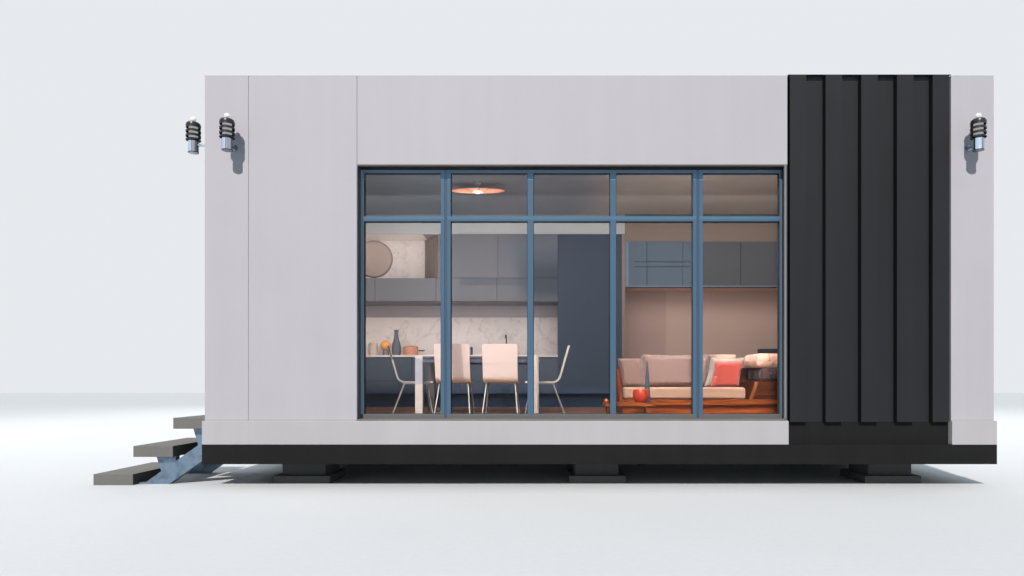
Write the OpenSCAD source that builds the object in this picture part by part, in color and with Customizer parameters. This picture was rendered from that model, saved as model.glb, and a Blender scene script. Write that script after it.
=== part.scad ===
// Container cabin on low footings: a panelled steel-framed box with a wide
// coupled window, a ribbed dark wall bay, end steps and a fitted room.
// Millimetres. In the working frame x runs along the front from its left
// corner, y runs back from the face of the front panels, z is up from ground.

/* [Front elevation] */
// Width of the corner panel at the left
left_corner_w = 336; // [280:1:420]
// Width of the wide panel beside the window
left_panel_w = 833; // [700:1:1000]
// Width of the corner panel at the right
right_corner_w = 328; // [290:1:420]
// Open joint between two facing panels
joint_w = 6; // [3:1:10]
// White strip that covers the right edge of the window
strip_w = 22; // [16:1:30]

/* [Heights] */
// Clear height between the ground and the base frame
ground_gap = 180; // [120:1:260]
// Height of the base frame
base_h = 150; // [120:1:200]
// Height of the plinth strip over the base frame
plinth_h = 181; // [150:1:240]
// Height of the wall panels over the plinth
panel_h = 2652; // [2620:1:2900]
// Clear height of the room
room_h = 2053; // [2030:1:2120]
// Floor finish over the plinth top
floor_t = 29; // [20:1:45]

/* [Walls and roof] */
// Depth of the cabin over its panels
cabin_d = 2438; // [2350:1:2900]
// Full thickness of an outer wall
wall_t = 150; // [135:1:170]
// Thickness of the facing panels
clad_t = 20; // [14:1:25]
// How far plinth and base stand out from the panels
plinth_out = 15; // [8:1:25]
// Depth of the plinth boards behind the panel face
plinth_in = 60; // [50:1:80]
// Thickness of the ceiling panel
ceiling_t = 20; // [12:1:30]
// Thickness of the insulated roof deck
deck_t = 120; // [80:1:140]
// Height of the parapet over the roof sheet
parapet_h = 100; // [60:1:140]
// Thickness of the capping on the wall tops
cap_t = 4; // [3:1:8]

/* [Ribbed bay] */
// Number of upright ribs
rib_n = 5; // [3:1:7]
// Width of one rib
rib_w = 146; // [110:1:180]
// Width of the flat between two ribs
rib_gap = 128; // [90:1:170]
// Flat left at each side of the bay
rib_edge = 5; // [4:1:20]
// How far the ribs stand out
rib_d = 36; // [24:1:44]
// Side run of the slope of a rib
rib_slope = 10; // [4:1:24]
// Thickness of the folded sheet
sheet_t = 3; // [2:0.5:5]
// How far the ribs hang below the plinth top
rib_drop = 8; // [4:1:20]
// How far the sheet rises over the white panels
rib_rise = 8; // [0:1:20]

/* [Window] */
// Clear width between the bars of one bay
bay_w = 600; // [520:1:680]
// Face width of a jamb
jamb_w = 28; // [24:1:36]
// Recess between two coupled units
couple_w = 22; // [14:1:30]
// Face width of a single mullion
mullion_w = 46; // [36:1:60]
// Face height of the head bar
head_h = 26; // [22:1:36]
// Face height of the bottom bar
foot_h = 33; // [26:1:44]
// Face height of the transom
transom_h = 39; // [30:1:50]
// Height of the panes over the transom
toplight_h = 340; // [280:1:420]
// Height of the window opening
win_h = 1944; // [1800:1:1990]
// Height of the sill flashing
sill_h = 15; // [10:1:24]
// Depth of the frame bars
frame_d = 60; // [50:1:66]
// How far the frame stands back from the panels
frame_back = 88; // [70:1:100]
// Thickness of the reveal lining
lining_t = 4; // [2:1:6]
// Thickness of a glazing unit
glass_t = 24; // [16:1:28]
// How far the glass runs into its groove
glass_bite = 10; // [6:1:12]

/* [Door] */
// Distance from the front face to the door frame
door_y = 190; // [175:1:260]
// Width over the door frame
door_w = 760; // [700:1:840]
// Height over the door frame
door_h = 2000; // [1900:1:2020]
// Face width of the door frame
door_bar = 44; // [36:1:56]
// Thickness of the door leaf
leaf_t = 54; // [40:1:64]
// Running gap round the leaf
leaf_gap = 3; // [2:1:5]

/* [Lamps] */
// Diameter of the lamp tube
tube_d = 76; // [60:1:84]
// Length of the lamp tube
tube_h = 115; // [90:1:150]
// Diameter of the louvre rings
louvre_d = 108; // [96:1:124]
// Number of louvre rings
louvre_n = 4; // [3:1:6]
// Height of the louvred head
head_lamp_h = 140; // [110:1:180]
// Distance of the lamp axis from the wall
lamp_out = 120; // [80:1:150]
// Height of the tube foot over the ground
lamp_z = 2544; // [2300:1:2640]
// Distance of the front lamps' axes from the cabin ends, left
lamp_left = 230; // [120:1:280]
// Distance of the front lamps' axes from the cabin ends, right
lamp_right = 197; // [120:1:270]
// Extra height of the lamp on the end wall
lamp_end_up = 45; // [0:1:80]

/* [Steps] */
// Going of one step
going = 313; // [260:1:340]
// Thickness of a tread slab
tread_t = 86; // [60:1:110]
// Width of the flight
step_w = 780; // [700:1:900]
// Distance from the front face to the flight
step_y = 110; // [90:1:160]
// Width of a stringer
stringer_w = 60; // [40:1:80]
// Upright depth of a stringer
stringer_h = 147; // [110:1:170]
// Inset of the stringers from the tread ends
stringer_in = 60; // [40:1:120]

/* [Kitchen] */
// Depth of the kitchen units
unit_d = 350; // [300:1:420]
// Height of the worktop
worktop_h = 555; // [520:1:600]
// Thickness of the worktop
worktop_t = 22; // [16:1:30]
// Height of the toe board
toe_h = 141; // [100:1:160]
// Length of the run of base units
base_run = 2591; // [2300:1:2700]
// Width of the tall units
tall_w = 676; // [560:1:760]
// Height of the tall units
tall_h = 1841; // [1700:1:1900]
// Height of the shelf units' underside
shelf_z = 1118; // [1050:1:1160]
// Height of the shelf units
shelf_h = 255; // [220:1:300]
// Length of the dark upper units
upper_l = 1275; // [1100:1:1400]
// Underside of the glazed wall units over the floor
glazed_z = 1278; // [1200:1:1350]
// Height of the glazed wall units
glazed_h = 483; // [400:1:560]

/* [Table and chairs] */
// Length of the table
table_l = 1042; // [1020:1:1100]
// Depth of the table
table_d = 650; // [600:1:700]
// Height of the table
table_h = 497; // [470:1:520]
// Thickness of the table top
table_t = 25; // [18:1:32]
// Side of a table leg
table_leg = 62; // [40:1:66]
// Distance from the window opening's left edge to the table
table_x = 346; // [340:1:400]
// Distance from the front face to the table
table_y = 500; // [480:1:540]
// Width of a chair
chair_w = 288; // [260:1:300]
// Height of the underside of a chair seat
seat_z = 262; // [240:1:280]
// Height of a chair
chair_h = 582; // [540:1:620]
// Thickness of a chair shell
shell_t = 14; // [10:1:18]

/* [Sofa] */
// Length of the sofa seat
sofa_l = 1092; // [1040:1:1200]
// Depth of the sofa
sofa_d = 520; // [500:1:580]
// Height of the timber platform
platform_h = 119; // [100:1:140]
// Thickness of the seat cushion
cushion_t = 106; // [90:1:120]
// Distance from the window opening's left edge to the sofa
sofa_x = 2078; // [2060:1:2110]
// Distance from the front face to the sofa
sofa_y = 550; // [530:1:600]
// Width of the arm block at the right
arm_w = 415; // [360:1:440]

/* [Hidden] */
$fn = 48;

// Levels
z_base = ground_gap;
z_plinth = z_base + base_h;
z_wall = z_plinth + plinth_h;
z_top = z_wall + panel_h;
z_floor = z_wall + floor_t;
z_ceiling = z_floor + room_h;
z_sheet = z_top - parapet_h;
z_sill = z_wall + sill_h;
z_head = z_sill + win_h;

// Places along the front
panel_gap = 5;
win_x = left_corner_w + left_panel_w;
win_w = 5 * bay_w + 6 * jamb_w + 2 * couple_w + 2 * mullion_w;
win_r = win_x + win_w;
bay_x = win_r + panel_gap;
ribs_w = rib_n * rib_w + (rib_n - 1) * rib_gap + 2 * rib_edge;
bay_r = bay_x + ribs_w;
cabin_l = bay_r + right_corner_w;
sheet_back = rib_d + sheet_t;

// Inner faces of the walls
in_r = cabin_l - wall_t;
in_b = cabin_d - wall_t;

// Steps
step_n = 3;
tread_below = 12;
tread_lap = 20;
rise = (z_floor - tread_below - tread_t) / (step_n - 1);
steps_x = -plinth_out;
tread_last = going - tread_lap;
steps_l = tread_last + (step_n - 1) * going;

// Whole part, and the shift that puts the middle of its foot on the origin
lamp_reach = lamp_out + louvre_d / 2;
x_min = steps_x - steps_l;
x_max = cabin_l + plinth_out;
y_min = -lamp_reach;
y_max = cabin_d + plinth_out;
mid_x = (x_min + x_max) / 2;
mid_y = (y_min + y_max) / 2;

module placed() {
    translate([-mid_x, -mid_y, 0]) children();
}

// A block between two opposite corners
module block(lo, hi) {
    translate(lo) cube(hi - lo);
}

// A round bar between two points
module rod(a, b, d) {
    v = b - a;
    translate(a) rotate([0, acos(v.z / norm(v)), atan2(v.y, v.x)]) cylinder(d = d, h = norm(v), $fn = 24);
}

// Children here and once more mirrored to the rear wall
module front_and_rear() {
    children();
    translate([0, cabin_d, 0]) mirror([0, 1, 0]) children();
}

// An outline in x and z pushed back through y
module plate_xz(y0, y1) {
    translate([0, y1, 0]) rotate([90, 0, 0]) linear_extrude(y1 - y0) children();
}

// An outline in y and z pushed along x
module plate_yz(x0, x1) {
    translate([x0, 0, 0]) rotate([90, 0, 90]) linear_extrude(x1 - x0) children();
}

// Base
rail_w = 80;
rail_t = 8;
cross_n = 9;
cross_w = 60;
cross_x0 = rail_w;
cross_step = (cabin_l - 2 * rail_w) / (cross_n + 1);
function cross_x(i) = cross_x0 + (i + 1) * cross_step;
pad_side = 350;
pad_plate = 450;
pad_plate_h = 60;
pad_back = 420;

module footing_pads() {
    color("#8d8a86") placed()
        for (i = [0, (cross_n - 1) / 2, cross_n - 1], y = [pad_back, cabin_d - pad_back])
            translate([cross_x(i), y, 0]) {
                translate([-pad_plate / 2, -pad_plate / 2, 0]) cube([pad_plate, pad_plate, pad_plate_h]);
                translate([-pad_side / 2, -pad_side / 2, 0]) cube([pad_side, pad_side, z_base]);
            }
}

// Channel section with its back on the outer face
module rail_outline() {
    difference() {
        square([rail_w, base_h]);
        translate([rail_t, rail_t]) square([rail_w, base_h - 2 * rail_t]);
    }
}

module base_side_rails() {
    color("#2c2c2d") placed()
        front_and_rear()
            translate([0, 0, z_base])
                plate_yz(-plinth_out, cabin_l + plinth_out)
                    translate([-plinth_out, 0]) rail_outline();
}

module base_end_rails() {
    color("#2c2c2d") placed()
        for (s = [0, 1])
            translate([s * cabin_l, 0, 0]) mirror([s, 0, 0])
                translate([0, 0, z_base])
                    plate_xz(rail_w - plinth_out, cabin_d + plinth_out - rail_w)
                        translate([-plinth_out, 0]) rail_outline();
}

module base_cross_members() {
    color("#3a3a3b") placed()
        for (i = [0:cross_n - 1])
            translate([cross_x(i) - cross_w / 2, 0, z_base])
                plate_xz(rail_w - plinth_out, cabin_d + plinth_out - rail_w)
                    difference() {
                        square([cross_w, base_h]);
                        translate([rail_t, rail_t]) square([cross_w, base_h - 2 * rail_t]);
                    }
}

// Plinth and floor
module white_plinth() {
    color("#c9c6c9") placed() {
        front_and_rear() {
            block([-plinth_out, -plinth_out, z_plinth], [bay_x, plinth_in, z_wall]);
            block([bay_r, -plinth_out, z_plinth], [cabin_l + plinth_out, plinth_in, z_wall]);
        }
        for (x = [-plinth_out, cabin_l - plinth_in])
            block([x, plinth_in + joint_in, z_plinth],
                  [x + plinth_out + plinth_in, cabin_d - plinth_in - joint_in, z_wall]);
    }
}

module dark_plinth() {
    color("#303133") placed()
        front_and_rear()
            block([bay_x, rib_d, z_plinth], [bay_r, plinth_in, z_wall - rib_drop]);
}

module floor_cassette() {
    color("#7d7f82") placed()
        block([plinth_in, plinth_in, z_plinth], [cabin_l - plinth_in, cabin_d - plinth_in, z_wall]);
}

// Floor finish, with a tab that runs out into the doorway
module floor_finish() {
    color("#7a5647") placed() {
        block([wall_t, wall_t, z_wall], [in_r, in_b, z_floor]);
        block([clad_t, door_y, z_wall], [wall_t, door_r, z_floor]);
    }
}

// Facing panels of the front
z_panel = z_top - cap_t;
joint_in = joint_w / 2;

// Corner panels, the wide panel and the lintel panel, whose narrow leg
// runs down the right of the window
module front_panels() {
    color("#c9c6c9") placed() {
        block([0, 0, z_wall], [left_corner_w - joint_in, clad_t, z_panel]);
        block([left_corner_w + joint_in, 0, z_wall], [win_x - joint_in, clad_t, z_panel]);
        block([bay_r, 0, z_wall], [cabin_l, clad_t, z_panel]);
        plate_xz(0, clad_t)
            polygon([
                [win_x + joint_in, z_head], [win_r - strip_w, z_head], [win_r - strip_w, z_sill],
                [win_r, z_sill], [win_r, z_panel], [win_x + joint_in, z_panel]
            ]);
    }
}

module front_wall_left() {
    color("#b9aaa2") placed()
        block([clad_t, clad_t, z_wall], [win_x, wall_t, z_panel]);
}

module front_wall_lintel() {
    color("#b9aaa2") placed()
        block([win_x, clad_t, z_head], [win_r, wall_t, z_panel]);
}

// Wall core behind the ribbed bay and the right corner
module core_right() {
    block([win_r, sheet_back, z_wall], [bay_r, wall_t, z_panel]);
    block([bay_r, clad_t, z_wall], [cabin_l - clad_t, wall_t, z_panel]);
}

module front_wall_right() {
    color("#b9aaa2") placed() core_right();
}

// Folded sheet: flats at the back, ribs standing forward on sloped sides
function rib_x(i) = rib_edge + i * (rib_w + rib_gap);
function fold_line(off, lean) = [
    [0, rib_d + off],
    for (i = [0:rib_n - 1])
        each [
            [rib_x(i) + lean, rib_d + off],
            [rib_x(i) + rib_slope + lean, off],
            [rib_x(i) + rib_w - rib_slope - lean, off],
            [rib_x(i) + rib_w - lean, rib_d + off]
        ],
    [ribs_w, rib_d + off]
];
function turned(p) = [for (i = [len(p) - 1:-1:0]) p[i]];
// Shift of the inner fold line that keeps the sloped sides one sheet thick
fold_lean = sheet_t * (sqrt(rib_slope * rib_slope + rib_d * rib_d) - rib_slope) / rib_d;

// Folded sheet, closed at its top by a flat capping
rib_cap_t = 3;

module ribbed_sheet() {
    translate([bay_x, 0, z_wall - rib_drop])
        linear_extrude(panel_h + rib_drop + rib_rise - rib_cap_t)
            polygon(concat(fold_line(0, 0), turned(fold_line(sheet_t, fold_lean))));
    block([bay_x, 0, z_top + rib_rise - rib_cap_t], [bay_r, sheet_back, z_top + rib_rise]);
}

module ribbed_sheets() {
    color("#36393b") placed() front_and_rear() ribbed_sheet();
}

// Rear wall, a plain repeat of the front without its window
rear_joints = [0, left_corner_w, win_x, (win_x + win_r) / 2, win_r];

module rear_panels() {
    color("#c9c6c9") placed()
        translate([0, cabin_d, 0]) mirror([0, 1, 0]) {
            for (i = [0:len(rear_joints) - 2]) {
                x0 = rear_joints[i] + (i == 0 ? 0 : joint_in);
                x1 = rear_joints[i + 1] - (i == len(rear_joints) - 2 ? 0 : joint_in);
                block([x0, 0, z_wall], [x1, clad_t, z_panel]);
            }
            block([bay_r, 0, z_wall], [cabin_l, clad_t, z_panel]);
        }
}

module rear_wall() {
    color("#a89087") placed()
        translate([0, cabin_d, 0]) mirror([0, 1, 0]) {
            block([clad_t, clad_t, z_wall], [win_r, wall_t, z_panel]);
            core_right();
        }
}

// End walls
door_r = door_y + door_w;
z_door = z_floor;
z_lintel = z_door + door_h;
end_joint = (door_r + cabin_d) / 2;

module left_end_panels() {
    color("#c9c6c9") placed() {
        block([0, clad_t, z_wall], [clad_t, door_y, z_panel]);
        block([0, door_y + joint_in, z_lintel], [clad_t, door_r - joint_in, z_panel]);
        block([0, door_r, z_wall], [clad_t, end_joint - joint_in, z_panel]);
        block([0, end_joint + joint_in, z_wall], [clad_t, cabin_d - clad_t, z_panel]);
        block([0, door_y + joint_in, z_wall], [clad_t, door_r - joint_in, z_door]);
    }
}

module left_end_wall() {
    color("#b9aaa2") placed() {
        block([clad_t, wall_t, z_wall], [wall_t, door_y, z_panel]);
        block([clad_t, door_r, z_wall], [wall_t, in_b, z_panel]);
    }
}

module left_wall_over_door() {
    color("#b9aaa2") placed()
        block([clad_t, door_y, z_lintel], [wall_t, door_r, z_panel]);
}

right_joints = [clad_t, cabin_d / 3, 2 * cabin_d / 3, cabin_d - clad_t];

module right_end_panels() {
    color("#c9c6c9") placed()
        for (i = [0:2])
            block([cabin_l - clad_t, right_joints[i] + (i == 0 ? 0 : joint_in), z_wall],
                  [cabin_l, right_joints[i + 1] - (i == 2 ? 0 : joint_in), z_panel]);
}

module right_end_wall() {
    color("#b9aaa2") placed()
        block([in_r, wall_t, z_wall], [cabin_l - clad_t, in_b, z_panel]);
}

// Entrance door: frame, threshold, panelled leaf and lever handles
frame_in = 30;
leaf_in = 40;
threshold_h = 24;
leaf_y = door_y + door_bar + leaf_gap;
leaf_r = door_r - door_bar - leaf_gap;
leaf_z = z_door + threshold_h + leaf_gap;
leaf_top = z_lintel - door_bar - leaf_gap;

module door_frame() {
    color("#5c82a4") placed() {
        for (y = [door_y, door_r - door_bar])
            block([frame_in, y, z_door], [wall_t, y + door_bar, z_lintel]);
        block([frame_in, door_y + door_bar, z_lintel - door_bar], [wall_t, door_r - door_bar, z_lintel]);
        block([frame_in, door_y + door_bar, z_door], [wall_t, door_r - door_bar, z_door + threshold_h]);
    }
}

groove_w = 8;
groove_d = 6;
groove_n = 4;

module door_leaf() {
    color("#3d4852") placed()
        difference() {
            block([leaf_in, leaf_y, leaf_z], [leaf_in + leaf_t, leaf_r, leaf_top]);
            for (i = [1:groove_n])
                translate([leaf_in - 1, leaf_y - 1, leaf_z + i * (leaf_top - leaf_z) / (groove_n + 1) - groove_w / 2])
                    cube([groove_d + 1, leaf_r - leaf_y + 2, groove_w]);
            translate([leaf_in - 1, lock_y, handle_z]) rotate([0, 90, 0]) cylinder(d = spindle_d, h = leaf_t + 2);
        }
}

lock_in = 60;
handle_h = 900;
lock_y = leaf_y + lock_in;
handle_z = z_door + handle_h;
spindle_d = 10;
rose_d = 46;
rose_t = 8;
lever_l = 110;
lever_d = 16;
lever_out = 42;

hinge_n = 3;
hinge_h = 100;
hinge_d = 16;
hinge_flap = 56;
hinge_end = 180;

// Lever handles on both faces, and hinges whose flaps fill the running gap
module door_fittings() {
    color("#b5b8ba") placed() {
        for (i = [0:hinge_n - 1])
            translate([frame_in, leaf_r, leaf_z + hinge_end + i * (leaf_top - leaf_z - 2 * hinge_end - hinge_h) / (hinge_n - 1)]) {
                translate([-hinge_d / 2, 0, 0]) cube([hinge_flap, leaf_gap, hinge_h]);
                translate([-hinge_d / 2, leaf_gap / 2, 0]) cylinder(d = hinge_d, h = hinge_h);
            }
        translate([leaf_in - lever_out, lock_y, handle_z]) rotate([0, 90, 0])
            cylinder(d = spindle_d, h = leaf_t + 2 * lever_out);
        for (s = [0, 1])
            translate([leaf_in + leaf_t / 2, lock_y, handle_z]) mirror([s, 0, 0]) {
                translate([leaf_t / 2, 0, 0]) rotate([0, 90, 0]) cylinder(d = rose_d, h = rose_t);
                translate([leaf_t / 2 + lever_out, -lever_d / 2, 0]) rotate([-90, 0, 0]) cylinder(d = lever_d, h = lever_l);
            }
    }
}

// Ceiling and roof
roof_rib = 120;
roof_rib_w = 36;
roof_rib_h = 26;
roof_skin = 4;

module ceiling() {
    color("#8f8783") placed()
        block([wall_t, wall_t, z_ceiling], [in_r, in_b, z_ceiling + ceiling_t]);
}

z_deck = z_sheet - roof_rib_h - deck_t;

module roof_deck() {
    color("#a9a9a9") placed()
        block([wall_t, wall_t, z_deck], [in_r, in_b, z_deck + deck_t]);
}

// Roof sheet with low ribs that run from front to rear
roof_n = floor((in_r - wall_t) / roof_rib) - 1;
roof_x0 = (in_r + wall_t - roof_n * roof_rib) / 2;
function roof_line() = [
    [wall_t, 0],
    [wall_t, roof_skin],
    for (i = [0:roof_n])
        let (c = roof_x0 + i * roof_rib)
            each [
                [c - roof_rib_w / 2, roof_skin],
                [c - roof_rib_w / 4, roof_rib_h],
                [c + roof_rib_w / 4, roof_rib_h],
                [c + roof_rib_w / 2, roof_skin]
            ],
    [in_r, roof_skin],
    [in_r, 0]
];

module roof_sheet() {
    color("#b6b8ba") placed()
        translate([0, 0, z_deck + deck_t])
            plate_xz(wall_t, in_b) polygon(roof_line());
}

module wall_capping() {
    color("#c9c6c9") placed() {
        front_and_rear() {
            block([0, 0, z_panel], [bay_x, wall_t, z_top]);
            block([bay_x, sheet_back, z_panel], [bay_r, wall_t, z_top]);
            block([bay_r, 0, z_panel], [cabin_l, wall_t, z_top]);
        }
        for (x = [0, in_r])
            block([x, wall_t + joint_in, z_panel], [x + wall_t, in_b - joint_in, z_top]);
    }
}

// Window: three coupled units of 1, 3 and 1 bays
frame_y = frame_back;
frame_r = frame_back + frame_d;
glass_y = frame_y + (frame_d - glass_t) / 2;
unit_bays = [1, 3, 1];
couple_back = 4;
function unit_w(n) = n * bay_w + 2 * jamb_w + (n - 1) * mullion_w;
function units_before(i) = i == 0 ? 0 : units_before(i - 1) + unit_w(unit_bays[i - 1]) + couple_w;
function unit_x(i) = win_x + units_before(i);
z_foot = z_sill + foot_h;
z_lights = z_head - head_h;
z_transom = z_lights - toplight_h - transom_h;

// Clear openings of one unit's bays, grown on every side
module bay_openings(i, y0, y1, grow) {
    for (b = [0:unit_bays[i] - 1]) {
        x0 = unit_x(i) + jamb_w + b * (bay_w + mullion_w);
        block([x0 - grow, y0, z_foot - grow], [x0 + bay_w + grow, y1, z_transom + grow]);
        block([x0 - grow, y0, z_transom + transom_h - grow], [x0 + bay_w + grow, y1, z_lights + grow]);
    }
}

module window_frames() {
    color("#5f86a8") placed()
        for (i = [0:len(unit_bays) - 1])
            difference() {
                block([unit_x(i), frame_y, z_sill], [unit_x(i) + unit_w(unit_bays[i]), frame_r, z_head]);
                bay_openings(i, frame_y - 1, frame_r + 1, 0);
                bay_openings(i, glass_y, glass_y + glass_t, glass_bite);
            }
}

module window_couplings() {
    color("#27405e") placed()
        for (i = [1, 2])
            block([unit_x(i) - couple_w, frame_y + couple_back, z_sill], [unit_x(i), frame_r, z_head]);
}

module window_glass() {
    color("#9fb7c4", 0.35) placed()
        for (i = [0:len(unit_bays) - 1])
            bay_openings(i, glass_y, glass_y + glass_t, glass_bite);
}

module window_reveal() {
    color("#1f3350") placed() {
        block([win_x, 0, z_sill], [win_x + lining_t, frame_y, z_head]);
        block([win_x + lining_t, clad_t, z_head - lining_t], [win_r - lining_t, frame_y, z_head]);
        block([win_r - lining_t, clad_t, z_sill], [win_r, frame_y, z_head]);
    }
}

sill_fall = 5;

module window_sill() {
    color("#b5b6ba") placed()
        plate_yz(win_x, win_r)
            polygon([
                [0, z_wall], [wall_t, z_wall], [wall_t, z_sill], [frame_y, z_sill], [clad_t, z_sill], [0, z_sill - sill_fall]
            ]);
}

// Wall lamps: tube on an arm, louvre rings round a glass with a shield at the
// wall side, domed cap
lamp_end_y = 60;
lamp_places = [
    [lamp_left, 0, lamp_z, 0],
    [cabin_l - lamp_right, 0, lamp_z, 0],
    [0, lamp_end_y, lamp_z + lamp_end_up, -90]
];
rose_lamp_d = 46;
rose_lamp_t = 8;
arm_d = 18;
arm_up = 60;
glass_in = 5;
glass_d = tube_d - 2 * glass_in;
foot_h_lamp = 5;
foot_in = 3;
collar_d = 92;
collar_h = 6;
dome_d = 60;
dome_h = 24;
dome_r = (dome_d * dome_d / 4 + dome_h * dome_h) / (2 * dome_h);
louvre_t = 7;
louvre_drop = 8;
louvre_lip = 12;
louvre_fit = 1;
louvre_step = (head_lamp_h - collar_h) / louvre_n;
shield_in = 3;
shield_t = 3;
shield_y = 6;

// Children stand at the lamp axis with the wall behind them at +y
module at_lamps() {
    placed()
        for (p = lamp_places)
            translate([p.x, p.y, p.z]) rotate([0, 0, p[3]]) translate([0, -lamp_out, 0]) children();
}

module lamp_tubes() {
    color("#b9c0c8") at_lamps() {
        cylinder(d = tube_d - 2 * foot_in, h = foot_h_lamp);
        translate([0, 0, foot_h_lamp]) cylinder(d = tube_d, h = tube_h - foot_h_lamp);
        translate([0, lamp_out, arm_up]) rotate([90, 0, 0]) {
            cylinder(d = rose_lamp_d, h = rose_lamp_t);
            cylinder(d = arm_d, h = lamp_out);
        }
    }
}

// Section of a louvre ring: a flat plate round the glass with a lip that flares down
module louvre_outline() {
    r0 = glass_d / 2 + louvre_fit;
    r1 = louvre_d / 2;
    rm = r1 - louvre_lip;
    polygon([
        [r0, louvre_drop], [rm, louvre_drop], [r1, 0],
        [r1, louvre_t], [rm + louvre_fit, louvre_drop + louvre_t], [r0, louvre_drop + louvre_t]
    ]);
}

// Half ring at the wall side that ties the louvre rings to the collar
module louvre_shield() {
    r = louvre_d / 2 - shield_in;
    intersection() {
        difference() {
            cylinder(r = r, h = head_lamp_h - louvre_t);
            translate([0, 0, -1]) cylinder(r = r - shield_t, h = head_lamp_h);
        }
        translate([-louvre_d, shield_y, 0]) cube([2 * louvre_d, louvre_d, head_lamp_h]);
    }
}

module lamp_louvres() {
    color("#26282b") at_lamps()
        translate([0, 0, tube_h]) {
            cylinder(r = louvre_d / 2 - shield_in, h = collar_h);
            for (i = [1:louvre_n])
                translate([0, 0, collar_h + i * louvre_step - louvre_t - louvre_drop])
                    rotate_extrude() louvre_outline();
            louvre_shield();
        }
}

module lamp_glasses() {
    color("#f4f4f0") at_lamps()
        translate([0, 0, tube_h + collar_h]) {
            cylinder(d = glass_d, h = head_lamp_h - collar_h);
            translate([0, 0, head_lamp_h - collar_h])
                intersection() {
                    translate([0, 0, dome_h - dome_r]) sphere(r = dome_r);
                    cylinder(d = dome_d, h = dome_h);
                }
        }
}

// Steps: slabs on two sloped stringers with seat brackets
function tread_x(i) = steps_x - steps_l + i * going;
function tread_z(i) = i * rise;
pitch = rise / going;
string_under = 30;
seat_lap = 20;
// Height of a stringer's upper edge at any x, and the x of a height
function string_z(x) = tread_z(1) - string_under + (x - tread_x(2)) * pitch;
function string_x(z) = tread_x(2) + (z - tread_z(1) + string_under) / pitch;

module step_treads() {
    color("#8f8780") placed()
        for (i = [0:step_n - 1])
            block([tread_x(i), step_y, tread_z(i)],
                  [i == step_n - 1 ? steps_x : tread_x(i + 1), step_y + step_w, tread_z(i) + tread_t]);
}

toe_t = 12;
bracket_back = 12;
bracket_l = 154;
bracket_taper = 44;

// Seat under one tread, from the tread's underside down to the stringer
module seat_outline(i) {
    x1 = i == step_n - 1 ? steps_x - bracket_back : tread_x(i + 1) - bracket_back;
    x0 = x1 - bracket_l;
    polygon([
        [x0, tread_z(i)], [x1, tread_z(i)], [x1, string_z(x1) - seat_lap],
        [x0 + bracket_taper, string_z(x0 + bracket_taper) - seat_lap]
    ]);
}

module step_stringers() {
    color("#8fa0b0") placed()
        for (y = [step_y + stringer_in, step_y + step_w - stringer_in - stringer_w])
            plate_xz(y, y + stringer_w) {
                translate([tread_x(1), 0]) square([string_x(stringer_h) - tread_x(1), toe_t]);
                polygon([
                    [string_x(0), 0], [string_x(stringer_h), 0],
                    [steps_x, string_z(steps_x) - stringer_h], [steps_x, string_z(steps_x)]
                ]);
                for (i = [1:step_n - 1])
                    seat_outline(i);
            }
}

// Kitchen along the rear wall
front_gap = 3;
front_t = 18;
base_x = wall_t;
tall_x = base_x + base_run;
tall_r = tall_x + tall_w;
unit_y = in_b - unit_d;
z_worktop = z_floor + worktop_h;
z_toe = z_floor + toe_h;
z_shelf = z_floor + shelf_z;
z_upper = z_shelf + shelf_h;
z_tall = z_floor + tall_h;
panel_t = 15;
base_doors = 5;
drawer_h = 255;
gable_t = 36;
gable_out = 6;
toe_in = 40;
worktop_out = 12;

// A row of doors or drawers with even gaps between them
module fronts(x0, x1, n, z0, z1, y) {
    w = (x1 - x0) / n;
    for (i = [0:n - 1])
        block([x0 + i * w + front_gap / 2, y, z0 + front_gap / 2],
              [x0 + (i + 1) * w - front_gap / 2, y + front_t, z1 - front_gap / 2]);
}

module kitchen_units() {
    z_drawer = z_worktop - worktop_t - drawer_h;
    color("#4a535c") placed() {
        block([base_x, unit_y + front_t + toe_in, z_floor], [tall_r, in_b, z_toe]);
        block([base_x, unit_y + front_t, z_toe], [tall_x, in_b, z_worktop - worktop_t]);
        block([tall_x, unit_y + front_t, z_toe], [tall_r, in_b, z_tall]);
        fronts(base_x, tall_x, base_doors, z_toe, z_drawer, unit_y);
        fronts(base_x, tall_x, base_doors, z_drawer, z_worktop - worktop_t, unit_y);
        fronts(tall_x, tall_r, 1, z_toe, z_tall, unit_y);
        block([tall_r, unit_y - gable_out, z_floor], [tall_r + gable_t, in_b, z_tall]);
    }
}

module kitchen_worktop() {
    color("#dcd6d6") placed()
        block([base_x, unit_y - worktop_out, z_worktop - worktop_t], [tall_x, in_b, z_worktop]);
}

module kitchen_wall_panel() {
    color("#c9b4ab") placed()
        block([base_x, in_b - panel_t, z_worktop], [tall_x, in_b, z_ceiling]);
}

shelf_doors = 4;
upper_x = tall_x - upper_l;
upper_splay = 202;

module kitchen_upper_units() {
    color("#565e66") placed() {
        block([base_x, unit_y + front_t, z_shelf], [tall_x, in_b - panel_t, z_upper]);
        fronts(base_x, tall_x, shelf_doors, z_shelf, z_upper, unit_y);
        block([upper_x, unit_y + front_t, z_upper], [tall_x, in_b - panel_t, z_tall]);
        fronts(upper_x, tall_x, 2, z_upper, z_tall, unit_y);
        translate([upper_x, 0, z_upper])
            linear_extrude(z_tall - z_upper)
                polygon([[0, unit_y + front_t], [0, in_b - panel_t], [-upper_splay, in_b - panel_t]]);
    }
}

// Boxed strip over the upper and tall units, up to the ceiling
module kitchen_bulkhead() {
    color("#b0b1b5") placed()
        block([base_x, unit_y + front_t, z_tall], [glazed_x, in_b - panel_t, z_ceiling]);
}

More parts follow.
